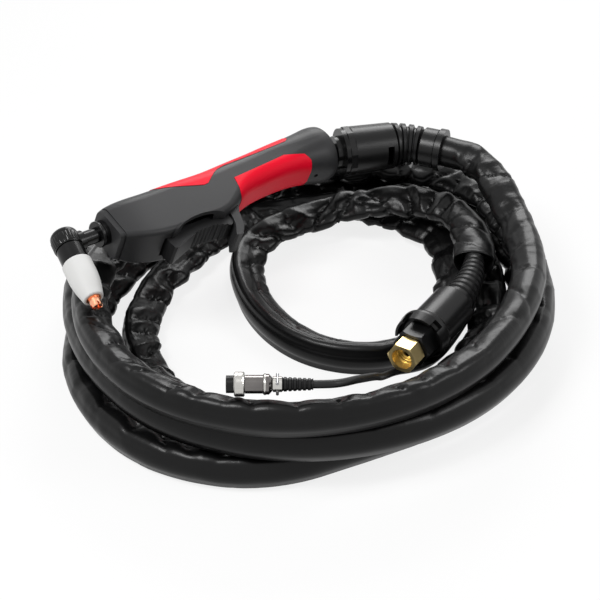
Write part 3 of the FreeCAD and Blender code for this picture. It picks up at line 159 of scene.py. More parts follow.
# Lead
leadRoute = {
    "diameter": 0.023,
    "floor": 0.01100, "second": 0.03445, "third": 0.05790,
    "start": (0.098483, 0.141313, 0.075120), "leaving": (0.92697, -0.37468, -0.01862),
    "end": (0.124056, 0.031318, 0.042556), "arriving": (-0.13309, -0.99106, -0.00952),
    "fromSupport": ((0.1365, 0.1190, 0.0720), (0.1455, 0.0990, 0.0683), (0.1500, 0.0780, 0.0644)),
    "bearings": (22.5, -22.5, -67.5, -112.5, -157.5, 157.5, 112.5, 67.5, 45.0),
    "reaches": (
        (0.1635, 0.1515, 0.1600, 0.1670, 0.1490, 0.1310, 0.1520, 0.1970, 0.2030),
        (0.1735, 0.1615, 0.1595, 0.1595, 0.1505, 0.1585, 0.1880, 0.2195, 0.2100),
        (0.1770, 0.1470, 0.1340, 0.1685, 0.1590, 0.1435, 0.1620, 0.1935, 0.1825),
        (0.1500, 0.1215, 0.1070, 0.1200, 0.1150, 0.1110, 0.1360, 0.1670, 0.1565),
    ),
    "heights": (
        (0.0605, 0.0584, "third", "third", "third", 0.0545, 0.0385, "second", "second"),
        ("second", "second", "second", "second", "second", 0.0340, 0.0150, "floor", "floor"),
        ("floor",) * 9,
        ("floor",) * 9,
    ),
    "innerLoop": ((0.1135, 0.0840), (0.1135, 0.0520), (0.1090, 0.0200), (0.0980, -0.0060),
                  (0.0800, -0.0280), (0.0560, -0.0390), (0.0300, -0.0390), (0.0060, -0.0290),
                  (-0.0140, -0.0100), (-0.0300, 0.0180), (-0.0390, 0.0480), (-0.0420, 0.0770),
                  (-0.0380, 0.0980)),
    "toCoupling": ((-0.0240, 0.1140, 0.0130), (-0.0020, 0.1250, 0.0180), (0.0240, 0.1320, 0.0230),
                   (0.0480, 0.1335, 0.0280), (0.0720, 0.1320, 0.0320), (0.0950, 0.1235, 0.0360),
                   (0.1130, 0.1040, 0.0395), (0.1240, 0.0800, 0.0425)),
    "step": 24.0,  # degrees between two points of the coil's line
    "resolution": 12,
}


def eased(knots, values, at):
    # smooth value between knots, level wherever the values turn back or stay the same
    i = min(max(bisect.bisect_right(knots, at) - 1, 0), len(knots) - 2)

    def slope(k):
        if k <= 0 or k >= len(knots) - 1:
            return 0.0
        before = (values[k] - values[k - 1]) / (knots[k] - knots[k - 1])
        after = (values[k + 1] - values[k]) / (knots[k + 1] - knots[k])
        return 2 * before * after / (before + after) if before * after > 0 else 0.0

    width = knots[i + 1] - knots[i]
    t = (at - knots[i]) / width
    return (values[i] * (2 * t ** 3 - 3 * t * t + 1) + slope(i) * width * (t ** 3 - 2 * t * t + t)
            + values[i + 1] * (3 * t * t - 2 * t ** 3) + slope(i + 1) * width * (t ** 3 - t * t))


def leadPoints(r):
    # control points of the lead's line, each with the station of the route that it stands at
    leaving = Vector(r["leaving"])
    arriving = Vector(r["arriving"])
    points = [(0, Vector(r["start"])), (1, Vector(r["start"]) + leaving * r["diameter"])]
    points += [(2 + k, Vector(place)) for k, place in enumerate(r["fromSupport"])]
    knots = []
    reaches = []
    heights = []
    for turn, (reachRow, heightRow) in enumerate(zip(r["reaches"], r["heights"])):
        for bearing, reach, height in zip(r["bearings"], reachRow, heightRow):
            knots.append(360 * turn + (r["bearings"][0] - bearing) % 360)
            reaches.append(reach)
            heights.append(r.get(height, height))
    widen = 1 / math.cos(math.radians(r["step"] / 2))  # the line runs inside its points by this much
    for k in range(int(knots[-1] / r["step"]) + 1):
        turned = k * r["step"]
        angle = math.radians(r["bearings"][0] - turned)
        reach = eased(knots, reaches, turned) * widen
        i = min(bisect.bisect_right(knots, turned) - 1, len(knots) - 2)
        station = 5 + i + (turned - knots[i]) / (knots[i + 1] - knots[i])
        points.append((station, Vector((reach * math.cos(angle), reach * math.sin(angle),
                                        eased(knots, heights, turned)))))
    last = 5 + len(knots)
    points += [(last + k, Vector((x, y, r["floor"]))) for k, (x, y) in enumerate(r["innerLoop"])]
    last += len(r["innerLoop"])
    points += [(last + k, Vector(place)) for k, place in enumerate(r["toCoupling"])]
    last += len(r["toCoupling"])
    return points + [(last, Vector(r["end"]) - arriving * r["diameter"]), (last + 1, Vector(r["end"]))]


def nurbsLine(name, points, resolution):
    data = bpy.data.curves.new(name, "CURVE")
    data.dimensions = "3D"
    spline = data.splines.new("NURBS")
    spline.points.add(len(points) - 1)
    for point, place in zip(spline.points, points):
        point.co = (*place, 1.0)
    spline.order_u = 3
    spline.use_endpoint_u = True
    spline.resolution_u = resolution
    line = bpy.data.objects.new(name, data)
    bpy.context.scene.collection.objects.link(line)
    return line


def readLine(line, step):
    mesh = bpy.data.meshes.new_from_object(line)
    raw = [v.co.copy() for v in mesh.vertices]
    bpy.data.meshes.remove(mesh)
    bpy.data.objects.remove(line)
    runs = [0.0]
    for a, b in zip(raw, raw[1:]):
        runs.append(runs[-1] + (b - a).length)
    count = int(runs[-1] / step)
    even = []
    at = 0
    for k in range(count + 1):
        goal = runs[-1] * k / count
        while at < len(runs) - 2 and runs[at + 1] < goal:
            at += 1
        even.append(raw[at].lerp(raw[at + 1], (goal - runs[at]) / max(runs[at + 1] - runs[at], tiny)))
    return even, runs[-1]


sheath = {
    "around": 40, "step": 0.0019, "radius": 0.0115, "finerAt": 35.0, "finer": 0.36,
    "lowest": 0.0001, "seed": 11,
    # where the sleeve hangs loose: a round hose on the outer side and a flap on the inner side, whose two flat
    # faces draw together towards its edge, each with a groove (its place and width in radians)
    "hose": 0.0088, "edge": 0.0134, "flapOut": 0.00812, "flapFacing": (0.491, 0.871), "flapLeast": 0.2,
    "groove": 0.0014, "grooveAt": 0.95, "grooveWide": 0.26,
    # station, slack on the inner side, fold depth (mm), fold spacing (mm), where folds sit (degrees over the
    # inner side), how far round they reach, depth of the crumpled skin (mm)
    "dress": (
        (0, 0.0, 0.0, 20, 60, 60, 0.0), (1, 0.1, 2.4, 26, 60, 90, 1.5), (2, 0.3, 5.0, 30, 55, 100, 3.4),
        (4, 0.45, 4.6, 32, 60, 95, 3.4), (5, 0.4, 2.6, 38, 70, 80, 2.0), (6, 0.3, 1.6, 42, 75, 60, 0.8),
        (7, 0.6, 5.4, 20, 82, 42, 0.3), (8, 0.6, 5.8, 19, 80, 42, 0.3), (9, 0.6, 4.0, 24, 60, 60, 1.6),
        (10, 0.7, 5.4, 26, 45, 85, 3.6), (12, 0.6, 5.8, 25, 34, 85, 4.0), (14, 0.5, 3.8, 28, 45, 75, 2.6),
        (15, 0.3, 2.0, 36, 60, 55, 1.0), (17, 0.3, 2.6, 26, 70, 45, 0.6), (18, 0.4, 3.4, 24, 60, 60, 1.4),
        (20, 0.6, 5.2, 25, 34, 85, 3.6), (23, 0.4, 3.4, 30, 45, 70, 2.2), (25, 0.3, 2.8, 28, 66, 50, 0.8),
        (28, 0.6, 5.0, 24, 36, 80, 3.2), (32, 0.5, 4.2, 24, 40, 75, 2.6), (34, 0.6, 6.0, 26, 75, 50, 0.6),
        (36, 0.6, 4.8, 24, 45, 75, 2.8), (38, 0.8, 4.8, 22, 32, 75, 3.2), (41, 0.8, 3.8, 26, 30, 65, 2.4),
        (44, 0.9, 2.2, 36, 40, 55, 1.0), (46, 1.0, 1.8, 40, 60, 50, 0.6), (50, 1.0, 1.8, 40, 50, 50, 0.6),
        (52, 0.8, 4.8, 24, 40, 70, 2.8), (54, 0.7, 6.0, 21, 36, 90, 3.8), (59, 0.7, 6.0, 23, 44, 95, 3.8),
        (61, 0.4, 3.6, 22, 60, 90, 2.4), (63, 0.2, 2.6, 20, 60, 90, 1.6),
    ),
    # folds: where they start and end along the line, what the random draws range over, how they puff up
    "foldsFrom": 0.016, "foldsUntil": 0.004, "depthDraw": (0.5, 1.25), "slantDraw": 0.011, "middleDraw": 16,
    "reachDraw": (0.6, 1.1), "spacingDraw": (0.6, 1.4), "lowMiddle": -34, "lowShare": 0.6,
    "puff": 0.6, "puffLevel": 0.66, "swayShare": 0.0004, "swayLeast": 0.4, "swayWide": 0.8, "looseDepth": 4.0,
    # crumpled skin: cells to a metre along and round the tube, their slant and the shape of their ridges
    "wideCells": (30, 20), "smallCells": (72, 44), "cellLean": 0.45, "ridge": 2.4, "hollow": 0.7,
    "skinLevel": 0.6, "smallShare": 0.25, "skinLeast": 0.12, "skinPastFolds": 25,
    # where the dressing starts behind the support and ends before the mouth
    "fadeFrom": 0.014, "fadeOver": 0.02, "calmEnd": 0.006, "mouthCalm": 0.3,
    # mouth round the coupling's boot: half width, height over and under the line, rim, hose inside it
    "mouthWide": 0.0150, "mouthHigh": 0.0078, "mouthLow": 0.0126, "mouthRun": 0.080, "mouthDeep": 0.016,
    "rim": 0.94, "rimProud": 0.0002, "inside": 0.90, "hoseInMouth": 0.0070, "hoseBack": 0.0004,
    "softFrom": 0.0140, "outMost": 0.0162,  # the skin is held back from the first on, short of the second
}


def dressAt(table, station):
    # the table's values at a station, in between two of its rows
    keys = [row[0] for row in table]
    i = min(max(bisect.bisect_right(keys, station) - 1, 0), len(table) - 2)
    t = min(max((station - keys[i]) / (keys[i + 1] - keys[i]), 0.0), 1.0)
    return [a + (b - a) * t for a, b in zip(table[i][1:], table[i + 1][1:])]


def foldRow(s, rng, stationAt, total, low):
    # puckers along the sleeve, each with its own depth, slant and width round the tube, and where each one is
    marks = []
    run = s["foldsFrom"]
    while run < total - s["foldsUntil"]:
        depth, spacing, middle, reach = dressAt(s["dress"], stationAt(run))[1:5]
        middle = s["lowMiddle"] if low else middle
        marks.append({
            "run": run, "depth": depth * millimetre * rng.uniform(*s["depthDraw"]),
            "slant": rng.uniform(-s["slantDraw"], s["slantDraw"]),
            "middle": math.radians(middle + rng.uniform(-s["middleDraw"], s["middleDraw"])),
            "reach": math.radians(reach * rng.uniform(*s["reachDraw"])), "sway": rng.uniform(-1, 1),
        })
        run += spacing * millimetre * rng.uniform(*s["spacingDraw"])
    return marks, [mark["run"] for mark in marks]


def foldAt(s, row, run, angle):
    # puffed between two creases, sharp in each crease
    marks, runs = row
    i = bisect.bisect_right(runs, run) - 1
    total = 0.0
    for k in (i - 1, i, i + 1):
        if 0 <= k < len(marks) - 1:
            a = marks[k]
            b = marks[k + 1]
            lean = angle - a["middle"]
            start = a["run"] + a["slant"] * lean
            stop = b["run"] + b["slant"] * lean
            if start < run < stop:
                t = (run - start) / (stop - start)
                puff = (4 * t * (1 - t)) ** s["puff"] - s["puffLevel"]
                total += puff * a["depth"] * math.exp(-(lean / a["reach"]) ** 2)
    return total


def swayAt(s, row, run, depth, slack):
    # how far the inner side of the sleeve sags or lifts, from fold to fold
    marks, runs = row
    i = min(max(bisect.bisect_right(runs, run) - 1, 0), len(marks) - 2)
    t = smooth((run - runs[i]) / (runs[i + 1] - runs[i]))
    sway = marks[i]["sway"] * (1 - t) + marks[i + 1]["sway"] * t
    return sway * depth * s["swayShare"] * (s["swayLeast"] + slack)


def crumpleAt(s, run, angle):
    # skin of soft hollows between sharp ridges, most of them across the tube
    around = angle * s["radius"]

    def cells(along, size, layer):
        return min(abs(noise.noise(Vector((along * size[0], around * size[1], layer)))) * s["ridge"], 1.0)

    wide = cells(run + s["cellLean"] * around, s["wideCells"], 3.0)
    small = cells(run, s["smallCells"], 9.0)
    return s["skinLevel"] - wide ** s["hollow"] - s["smallShare"] * (small - s["skinLevel"])


def sheathPoint(s, slack, angle):
    # distance from the middle: round tube, or hose on the outer side with a loose flap on the inner side
    radius = s["radius"]
    c = s["hose"] - radius
    hose = c * math.cos(angle) + math.sqrt(s["hose"] ** 2 - (c * math.sin(angle)) ** 2)
    lean = s["flapFacing"][0] * math.cos(angle) + s["flapFacing"][1] * abs(math.sin(angle))
    flap = min(s["flapOut"] / lean, s["edge"]) if lean > s["flapLeast"] else 0.0
    flap -= s["groove"] * math.exp(-((abs(angle) - s["grooveAt"]) / s["grooveWide"]) ** 2)
    loose = max(hose, flap)
    return radius + (loose - radius) * slack


def smooth(t):
    t = min(max(t, 0.0), 1.0)
    return t * t * (3 - 2 * t)


def ringAngles(s):
    # closer together where the folds are
    shift = math.radians(s["finerAt"])
    turns = [2 * math.pi * j / s["around"] for j in range(s["around"])]
    return [turn - s["finer"] * math.sin(turn - shift) for turn in turns]


def stationReader(points, total):
    # gives the route's station at a run along the line
    runs = [0.0]
    for a, b in zip(points, points[1:]):
        runs.append(runs[-1] + (b[1] - a[1]).length)
    runs = [run * total / runs[-1] for run in runs]

    def stationAt(run):
        i = min(max(bisect.bisect_right(runs, run) - 1, 0), len(runs) - 2)
        t = (run - runs[i]) / (runs[i + 1] - runs[i])
        return points[i][0] + (points[i + 1][0] - points[i][0]) * t

    return stationAt


def frameAt(middle, k):
    # which ways are inward, up and onward at a point of the line
    heading = (middle[min(k + 1, len(middle) - 1)] - middle[max(k - 1, 0)]).normalized()
    inward = heading.cross(Vector((0, 0, 1))).normalized()
    return inward, inward.cross(heading).normalized(), heading


def ringAt(s, middle, total, k, stationAt, row):
    # what the points of one ring share
    inward, up, heading = frameAt(middle, k)
    run = total * k / (len(middle) - 1)
    slack, depth, _, side, reach, skin = dressAt(s["dress"], stationAt(run))
    return {
        "run": run, "inward": inward, "up": up, "slack": slack, "depth": depth, "side": side, "reach": reach,
        "skin": skin * millimetre, "sway": swayAt(s, row, run, depth, slack),
        "fade": smooth((run - s["fadeFrom"]) / s["fadeOver"]), "calm": smooth((total - run) / s["calmEnd"]),
        "mouth": smooth((run - total + s["mouthRun"]) / s["mouthRun"]),
    }


def heldIn(s, offset):
    # the skin stays near the line, without an edge where it is held back
    spare = s["outMost"] - s["softFrom"]
    over = max(offset.length - s["softFrom"], 0.0)
    return offset * ((offset.length - over + spare * math.tanh(over / spare)) / max(offset.length, tiny))


def skinAt(s, ring, rows, angle):
    # offset of the skin from the line at one angle of a ring, and how loose it is there
    fade = ring["fade"]
    mouth = ring["mouth"]
    out = sheathPoint(s, ring["slack"] * fade * (1 - mouth), angle)
    x = out * math.cos(angle)
    z = out * math.sin(angle)
    x += (s["mouthWide"] * math.cos(angle) - x) * mouth
    z += ((s["mouthHigh"] if angle > 0 else s["mouthLow"]) * math.sin(angle) - z) * mouth
    fold = foldAt(s, rows[0], ring["run"], angle) + s["lowShare"] * foldAt(s, rows[1], ring["run"], angle)
    width = math.radians(ring["reach"] + s["skinPastFolds"])
    spread = math.exp(-((angle - math.radians(ring["side"])) / width) ** 2)
    share = s["skinLeast"] + (1 - s["skinLeast"]) * spread
    fold += ring["skin"] * share * crumpleAt(s, ring["run"], angle)
    fold *= fade * (1 - s["mouthCalm"] * mouth) * ring["calm"]
    grow = 1 + fold / max(math.hypot(x, z), tiny)
    shift = ring["sway"] * math.exp(-(angle / s["swayWide"]) ** 2) * fade * (1 - mouth)
    offset = ring["inward"] * x * grow + ring["up"] * (z * grow + shift)
    return heldIn(s, offset), fade * min(ring["depth"] / s["looseDepth"], 1.0) * spread


def bandFaces(first, second, around):
    # faces between two rings of points
    nexts = [(j + 1) % around for j in range(around)]
    return [(first + j, first + k, second + k, second + j) for j, k in enumerate(nexts)]


def buildSheath(s, r):
    points = leadPoints(r)
    line = nurbsLine("leadLine", [place for mark, place in points], r["resolution"])
    middle, total = readLine(line, s["step"])
    stationAt = stationReader(points, total)
    rng = random.Random(s["seed"])
    rows = [foldRow(s, rng, stationAt, total, low) for low in (False, True)]
    angles = [(angle + math.pi) % (2 * math.pi) - math.pi for angle in ringAngles(s)]
    verts = []
    looseness = []
    for k, here in enumerate(middle):
        ring = ringAt(s, middle, total, k, stationAt, rows[0])
        for angle in angles:
            offset, loose = skinAt(s, ring, rows, angle)
            place = here + offset
            place.z = max(place.z, s["lowest"])
            verts.append(place)
            looseness.append(loose)
    faces = []
    for k in range(len(middle) - 1):
        faces += bandFaces(k * s["around"], (k + 1) * s["around"], s["around"])
    return middle, total, verts, faces, looseness


def closeEnds(s, verts, faces, middle):
    # flat at the support, and a rim with a wall behind it round the hose at the mouth
    around = s["around"]
    faces.append(tuple(reversed(range(around))))
    here = middle[-1]
    inward, up, heading = frameAt(middle, len(middle) - 1)
    last = (len(middle) - 1) * around
    mouth = [verts[last + j].copy() for j in range(around)]
    centre = sum(mouth, Vector()) / around
    angles = ringAngles(s)

    def ring(make):
        start = len(verts)
        verts.extend(make(j) for j in range(around))
        return start

    def hoseRing(back):
        return ring(lambda j: here + (inward * math.cos(angles[j]) + up * math.sin(angles[j]))
                    * s["hoseInMouth"] + heading * back)

    rings = [last, ring(lambda j: centre + (mouth[j] - centre) * s["rim"] + heading * s["rimProud"]),
             ring(lambda j: centre + (mouth[j] - centre) * s["inside"] - heading * s["mouthDeep"]),
             hoseRing(-s["mouthDeep"]), hoseRing(-s["hoseBack"])]
    for first, second in zip(rings, rings[1:]):
        faces += bandFaces(first, second, around)
    faces.append(tuple(rings[-1] + j for j in range(around)))


def meshPiece(name, verts, faces):
    data = bpy.data.meshes.new(name)
    data.from_pydata([tuple(v) for v in verts], [], faces)
    data.update()
    piece = bpy.data.objects.new(name, data)
    bpy.context.scene.collection.objects.link(piece)
    return piece


def wrapMap(piece, around, count, girth, total):
    # the sleeve's own map: along the tube and round it, in metres
    layer = piece.data.uv_layers.new(name="wrap")
    for face in piece.data.polygons:
        rows = [piece.data.loops[i].vertex_index for i in face.loop_indices]
        seam = any(r % around == 0 for r in rows) and any(r % around == around - 1 for r in rows)
        for i, r in zip(face.loop_indices, rows):
            j = r % around
            turn = 1.0 if seam and j == 0 else j / around
            layer.data[i].uv = (min(r // around, count - 1) / (count - 1) * total, turn * girth)


sheathLook = {
    "gloss": 0.20, "dark": 0.0024, "light": 0.0044, "patches": 26.0, "grain": 1500.0, "creases": (70.0, 34.0),
    "rough": 0.25, "patchRough": 0.07, "grainRough": 0.05,
    "grainHeight": 0.03, "creaseHeight": 1.6, "depth": 0.0012, "bump": 0.6,
}


def sheathFinish(s):
    f = Finish("softBlackSheath", Specular_IOR_Level=s["gloss"])
    wrap = f.places("UV")
    loose = f.add("ShaderNodeAttribute", {"attribute_name": "loose"}, out="Fac")
    broad = f.noise(f.places(), s["patches"], 3.0)
    grain = f.noise(wrap, s["grain"], 3.0, 0.6)
    crease = f.noise(f.stretched(wrap, *s["creases"], 1.0), 1.0, 3.0, 0.5)
    puckers = f.sum("ABSOLUTE", crease - 0.5, 0.0) * loose
    f.set("Base Color", f.blend(broad, grey(s["dark"]), grey(s["light"])))
    f.set("Roughness", s["rough"] + broad * s["patchRough"] + grain * s["grainRough"])
    f.bump(grain * s["grainHeight"] + puckers * s["creaseHeight"], s["depth"], s["bump"])
    return f.material


def makeLead():
    middle, total, verts, faces, looseness = buildSheath(sheath, leadRoute)
    closeEnds(sheath, verts, faces, middle)
    piece = meshPiece("leadSheath", verts, faces)
    loose = piece.data.attributes.new("loose", "FLOAT", "POINT")
    for i, value in enumerate(looseness):
        loose.data[i].value = value
    wrapMap(piece, sheath["around"], len(middle), 2 * math.pi * sheath["radius"], total)
    for face in piece.data.polygons:
        face.use_smooth = True
    piece.data.materials.append(sheathFinish(sheathLook))
    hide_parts("lead_coil")
    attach(piece, "lead")
    print("lead sheath:", round(total, 3), "m long,", len(faces), "faces")


makeLead()

# Control cable
cableRoute = {
    "diameter": 0.005, "resolution": 10, "roundness": 5,
    "points": (
        (0.129408, 0.036637, 0.033403), (0.128343, 0.028709, 0.033327), (0.1252, 0.0110, 0.0275),
        (0.1190, -0.0015, 0.0200), (0.1100, -0.0150, 0.0125), (0.0990, -0.0310, 0.0078),
        (0.0870, -0.0470, 0.0085), (0.0745, -0.0615, 0.0155), (0.0620, -0.0770, 0.0255),
        (0.0526, -0.0932, 0.0330), (0.0475, -0.1120, 0.0480), (0.0390, -0.1300, 0.0600),
        (0.0330, -0.1440, 0.0695), (0.0260, -0.1540, 0.0750), (0.0173, -0.1585, 0.0772),
        (0.0078, -0.1585, 0.0772),
    ),
}
cableLook = {
    "gloss": 0.3, "dark": 0.005, "light": 0.009, "patches": 60.0, "grain": 900.0,
    "rough": 0.34, "grainRough": 0.14, "depth": 0.0001, "bump": 0.4,
}


def cableFinish(s):
    f = Finish("blackCable", Specular_IOR_Level=s["gloss"])
    place = f.places()
    grain = f.noise(place, s["grain"])
    f.set("Base Color", f.blend(f.noise(place, s["patches"]), grey(s["dark"]), grey(s["light"])))
    f.set("Roughness", s["rough"] + grain * s["grainRough"])
    f.bump(grain, s["depth"], s["bump"])
    return f.material


def makeCable(s):
    line = nurbsLine("controlCable", [Vector(p) for p in s["points"]], s["resolution"])
    line.data.bevel_depth = s["diameter"] / 2
    line.data.bevel_resolution = s["roundness"]
    line.data.use_fill_caps = True
    line.data.materials.append(cableFinish(cableLook))
    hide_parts("control_cable")
    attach(line, "lead")


# Finishes of the carried pieces
mouldedLook = {"patches": 34.0, "patchRough": 0.12, "grainRough": 0.10, "bump": 0.5}
metalLook = {
    "patches": 120.0, "patchRough": 0.08, "scratches": (1800.0, 420.0, 420.0), "scratchRough": 0.16,
    "depth": 0.00003, "bump": 0.35,
}


def mouldedFinish(name, low, high, rough, grainScale=2400.0, grainDepth=0.00006, gloss=0.45):
    # darker and lighter colour, roughness, then the grain's scale, its depth in metres and the specular level
    s = mouldedLook
    f = Finish(name, Specular_IOR_Level=gloss)
    place = f.places()
    broad = f.noise(place, s["patches"], 3.0)
    grain = f.noise(place, grainScale, 2.0, 0.6)
    f.set("Base Color", f.blend(broad, low, high))
    f.set("Roughness", rough + (broad - 0.5) * s["patchRough"] + (grain - 0.5) * s["grainRough"])
    f.bump(grain, grainDepth, s["bump"])
    return f.material


def metalFinish(name, low, high, rough):
    s = metalLook
    f = Finish(name, Metallic=1.0)
    place = f.places()
    broad = f.noise(place, s["patches"], 3.0)
    scratches = f.noise(f.stretched(place, *s["scratches"]), 1.0, 3.0)
    f.set("Base Color", f.blend(broad, low, high))
    f.set("Roughness", rough + (scratches - 0.5) * s["scratchRough"] + (broad - 0.5) * s["patchRough"])
    f.bump(scratches, s["depth"], s["bump"])
    return f.material


def colour(red, green, blue):
    return (red, green, blue, 1)


finishes = {
    "handle": mouldedFinish("handlePlastic", grey(0.023), grey(0.031), 0.42, 2600.0, 0.00007, 0.20),
    "red": mouldedFinish("redGrip", colour(0.78, 0.000, 0.016), colour(0.86, 0.001, 0.026),
                         0.44, 1800.0, 0.00005, 0.16),
    "gloss": mouldedFinish("glossBlack", grey(0.002), grey(0.004), 0.19, 700.0, 0.00002, 0.24),
    "black": mouldedFinish("blackMoulding", grey(0.003), grey(0.006), 0.30, 1600.0, 0.00006, 0.25),
    "rubber": mouldedFinish("blackRubber", grey(0.003), grey(0.006), 0.34, 1200.0, 0.00008, 0.23),
    "trigger": mouldedFinish("triggerPlastic", grey(0.014), grey(0.020), 0.40, 2000.0, 0.00006, 0.22),
    "cup": mouldedFinish("whiteCup", colour(0.60, 0.60, 0.59), colour(0.67, 0.67, 0.66),
                         0.55, 1500.0, 0.00004, 0.3),
    "liner": mouldedFinish("linerPlastic", grey(0.05), grey(0.07), 0.35),
    "resin": mouldedFinish("swirlResin", colour(0.42, 0.19, 0.05), colour(0.55, 0.27, 0.08), 0.4),
    "brass": metalFinish("brass", colour(0.70, 0.54, 0.24), colour(0.80, 0.64, 0.32), 0.34),
    "copper": metalFinish("copper", colour(0.86, 0.38, 0.22), colour(0.93, 0.48, 0.30), 0.24),
    "nickel": metalFinish("nickel", colour(0.48, 0.47, 0.45), colour(0.60, 0.59, 0.56), 0.22),
    "darkNickel": metalFinish("darkNickel", colour(0.13, 0.12, 0.12), colour(0.22, 0.21, 0.20), 0.16),
    "pins": metalFinish("goldPins", colour(0.85, 0.62, 0.22), colour(0.92, 0.70, 0.30), 0.2),
    "steel": metalFinish("screwSteel", colour(0.26, 0.26, 0.27), colour(0.36, 0.36, 0.37), 0.3),
}
wears = {
    "handle": ("handle_right", "handle_left"),
    "red": ("grip_insert_top", "grip_insert_lower"),
    "gloss": ("head_body", "neck_tube", "swivel_ball"),
    "black": ("neck_collar", "lock_ring", "support_sleeve", "support_end_ring", "hex_insulator",
              "lobed_collar", "plug_insert", "microswitch"),
    "rubber": ("support_bend", "machine_boot", "plug_boot"),
    "trigger": ("trigger",),
    "cup": ("shield_cup",),
    "liner": ("swing_liner", "lift_liner", "switch_plunger"),
    "resin": ("swirl_ring",),
    "brass": ("union_nut", "gas_nipple", "cathode_body", "cup_thread"),
    "copper": ("nozzle_tip", "electrode", "gas_tube"),
    "nickel": ("plug_ring", "plug_clamp"),
    "darkNickel": ("plug_shell",),
    "pins": ("plug_contacts",),
    "steel": ("clamp_screws", "handle_screws", "trigger_pin"),
}
for finishName, wearers in wears.items():
    for node in wearers:
        cad[node].data.materials.clear()
        cad[node].data.materials.append(finishes[finishName])
print("finishes set on", sum(len(w) for w in wears.values()), "nodes")


# Turned trims: pieces worked up in edit mode from a circle
trimSettings = {"mergeUnder": 0.000002, "smoothUnder": 32}  # metres and degrees


def onAxis(base, axis, side):
    # frame of a turned piece: its own Z along the axis
    axis = Vector(axis).normalized()
    side = (Vector(side) - axis * Vector(side).dot(axis)).normalized()
    turn = Matrix((side, axis.cross(side), axis)).transposed().to_4x4()
    return Matrix.Translation(Vector(base)) @ turn


def worked(name, sides, profile):
    # one extrusion along the axis and out for each step of the profile
    bpy.ops.object.select_all(action="DESELECT")
    bpy.ops.mesh.primitive_circle_add(vertices=sides, radius=profile[0][1])
    piece = bpy.context.object
    piece.name = name
    bpy.ops.object.mode_set(mode="EDIT")
    bpy.ops.mesh.select_all(action="SELECT")
    bpy.ops.transform.translate(value=(0, 0, profile[0][0]))
    for (x0, r0), (x1, r1) in zip(profile, profile[1:]):
        bpy.ops.mesh.extrude_region_move(TRANSFORM_OT_translate={"value": (0, 0, x1 - x0)})
        bpy.ops.transform.resize(value=(r1 / r0, r1 / r0, 1), center_override=(0, 0, x1))
    bpy.ops.object.mode_set(mode="OBJECT")
    return piece


def pick(piece, chosen):
    # selects the vertices that the test chooses
    bpy.ops.object.mode_set(mode="EDIT")
    bpy.ops.mesh.select_mode(type="VERT")
    bpy.ops.mesh.select_all(action="DESELECT")
    bpy.ops.object.mode_set(mode="OBJECT")
    for v in piece.data.vertices:
        v.select = chosen(v.co)
    bpy.ops.object.mode_set(mode="EDIT")


def press(piece, chosen, factor):
    # draws the chosen vertices towards the axis or away from it
    pick(piece, chosen)
    bpy.ops.transform.resize(value=(factor, factor, 1), center_override=(0, 0, 0))
    bpy.ops.object.mode_set(mode="OBJECT")


def settle(piece, matrix, material, ride, instead=None):
    # merged, turned to its place, finished and handed to the body that it rides on
    bpy.ops.object.mode_set(mode="EDIT")
    bpy.ops.mesh.select_all(action="SELECT")
    bpy.ops.mesh.remove_doubles(threshold=trimSettings["mergeUnder"])
    bpy.ops.mesh.normals_make_consistent(inside=False)
    bpy.ops.object.mode_set(mode="OBJECT")
    piece.matrix_world = matrix
    bpy.ops.object.transform_apply(location=True, rotation=True, scale=True)
    bpy.ops.object.shade_smooth_by_angle(angle=math.radians(trimSettings["smoothUnder"]))
    piece.data.materials.append(material)
    if instead:
        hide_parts(instead)
    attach(piece, ride)
    print(piece.name, len(piece.data.polygons), "faces")


def sideOf(v, sides):
    # number of the side that a vertex lies on, counted round the axis
    return round(math.atan2(v.y, v.x) / (2 * math.pi) * sides) % sides


plugPlace = {"base": (-0.0434, -0.1585, 0.0772), "axis": (1, 0, 0), "side": (0, 1, 0)}

knurledRing = {
    **plugPlace, "sides": 96, "bore": 0.0055, "front": 0.0047, "back": 0.0109, "lip": 0.00702,
    "outer": 0.00735, "chamfer": 0.0003, "slope": 0.0006,
    "knurlFrom": 0.0058, "knurlTo": 0.0098, "rows": 8, "tooth": 0.962, "margin": 0.0001, "wall": 0.001,
}


def makeKnurledRing(s):
    # diamond teeth: every second point of each row is drawn in, and the next row is set off by one
    step = (s["knurlTo"] - s["knurlFrom"]) / s["rows"]
    chamfer = s["chamfer"]
    rows = [(s["knurlFrom"] + k * step, s["outer"]) for k in range(s["rows"] + 1)]
    profile = [(s["front"], s["bore"]), (s["front"], s["lip"] - chamfer), (s["front"] + chamfer, s["lip"]),
               (s["knurlFrom"] - s["slope"], s["outer"]), *rows, (s["knurlTo"] + s["slope"], s["outer"]),
               (s["back"] - chamfer, s["lip"]), (s["back"], s["lip"] - chamfer), (s["back"], s["bore"]),
               (s["front"], s["bore"])]
    ring = worked("knurledRing", s["sides"], profile)

    def valley(v):
        row = round((v.z - s["knurlFrom"]) / step)
        inRows = s["knurlFrom"] - s["margin"] < v.z < s["knurlTo"] + s["margin"]
        outside = v.xy.length > s["bore"] + s["wall"]
        return inRows and outside and (row + sideOf(v, s["sides"])) % 2 == 0

    press(ring, valley, s["tooth"])
    place = onAxis(s["base"], s["axis"], s["side"])
    settle(ring, place, finishes["nickel"], "plug_ring", "plug_ring")


makeKnurledRing(knurledRing)

headCap = {
    "base": (-0.152052, -0.031892, 0.094577), "axis": (0.43755, -0.82684, -0.35339),
    "side": (-0.317, 0.226, -0.921), "sides": 120, "from": -0.0054, "to": 0.0026,
    "radius": 0.00965, "sunk": 0.0006, "soft": 0.0006, "crown": 0.00005,
    "ridge": 1.035, "ridgeEvery": 4, "ridgeWide": 2,  # ridges are counted in sides
}


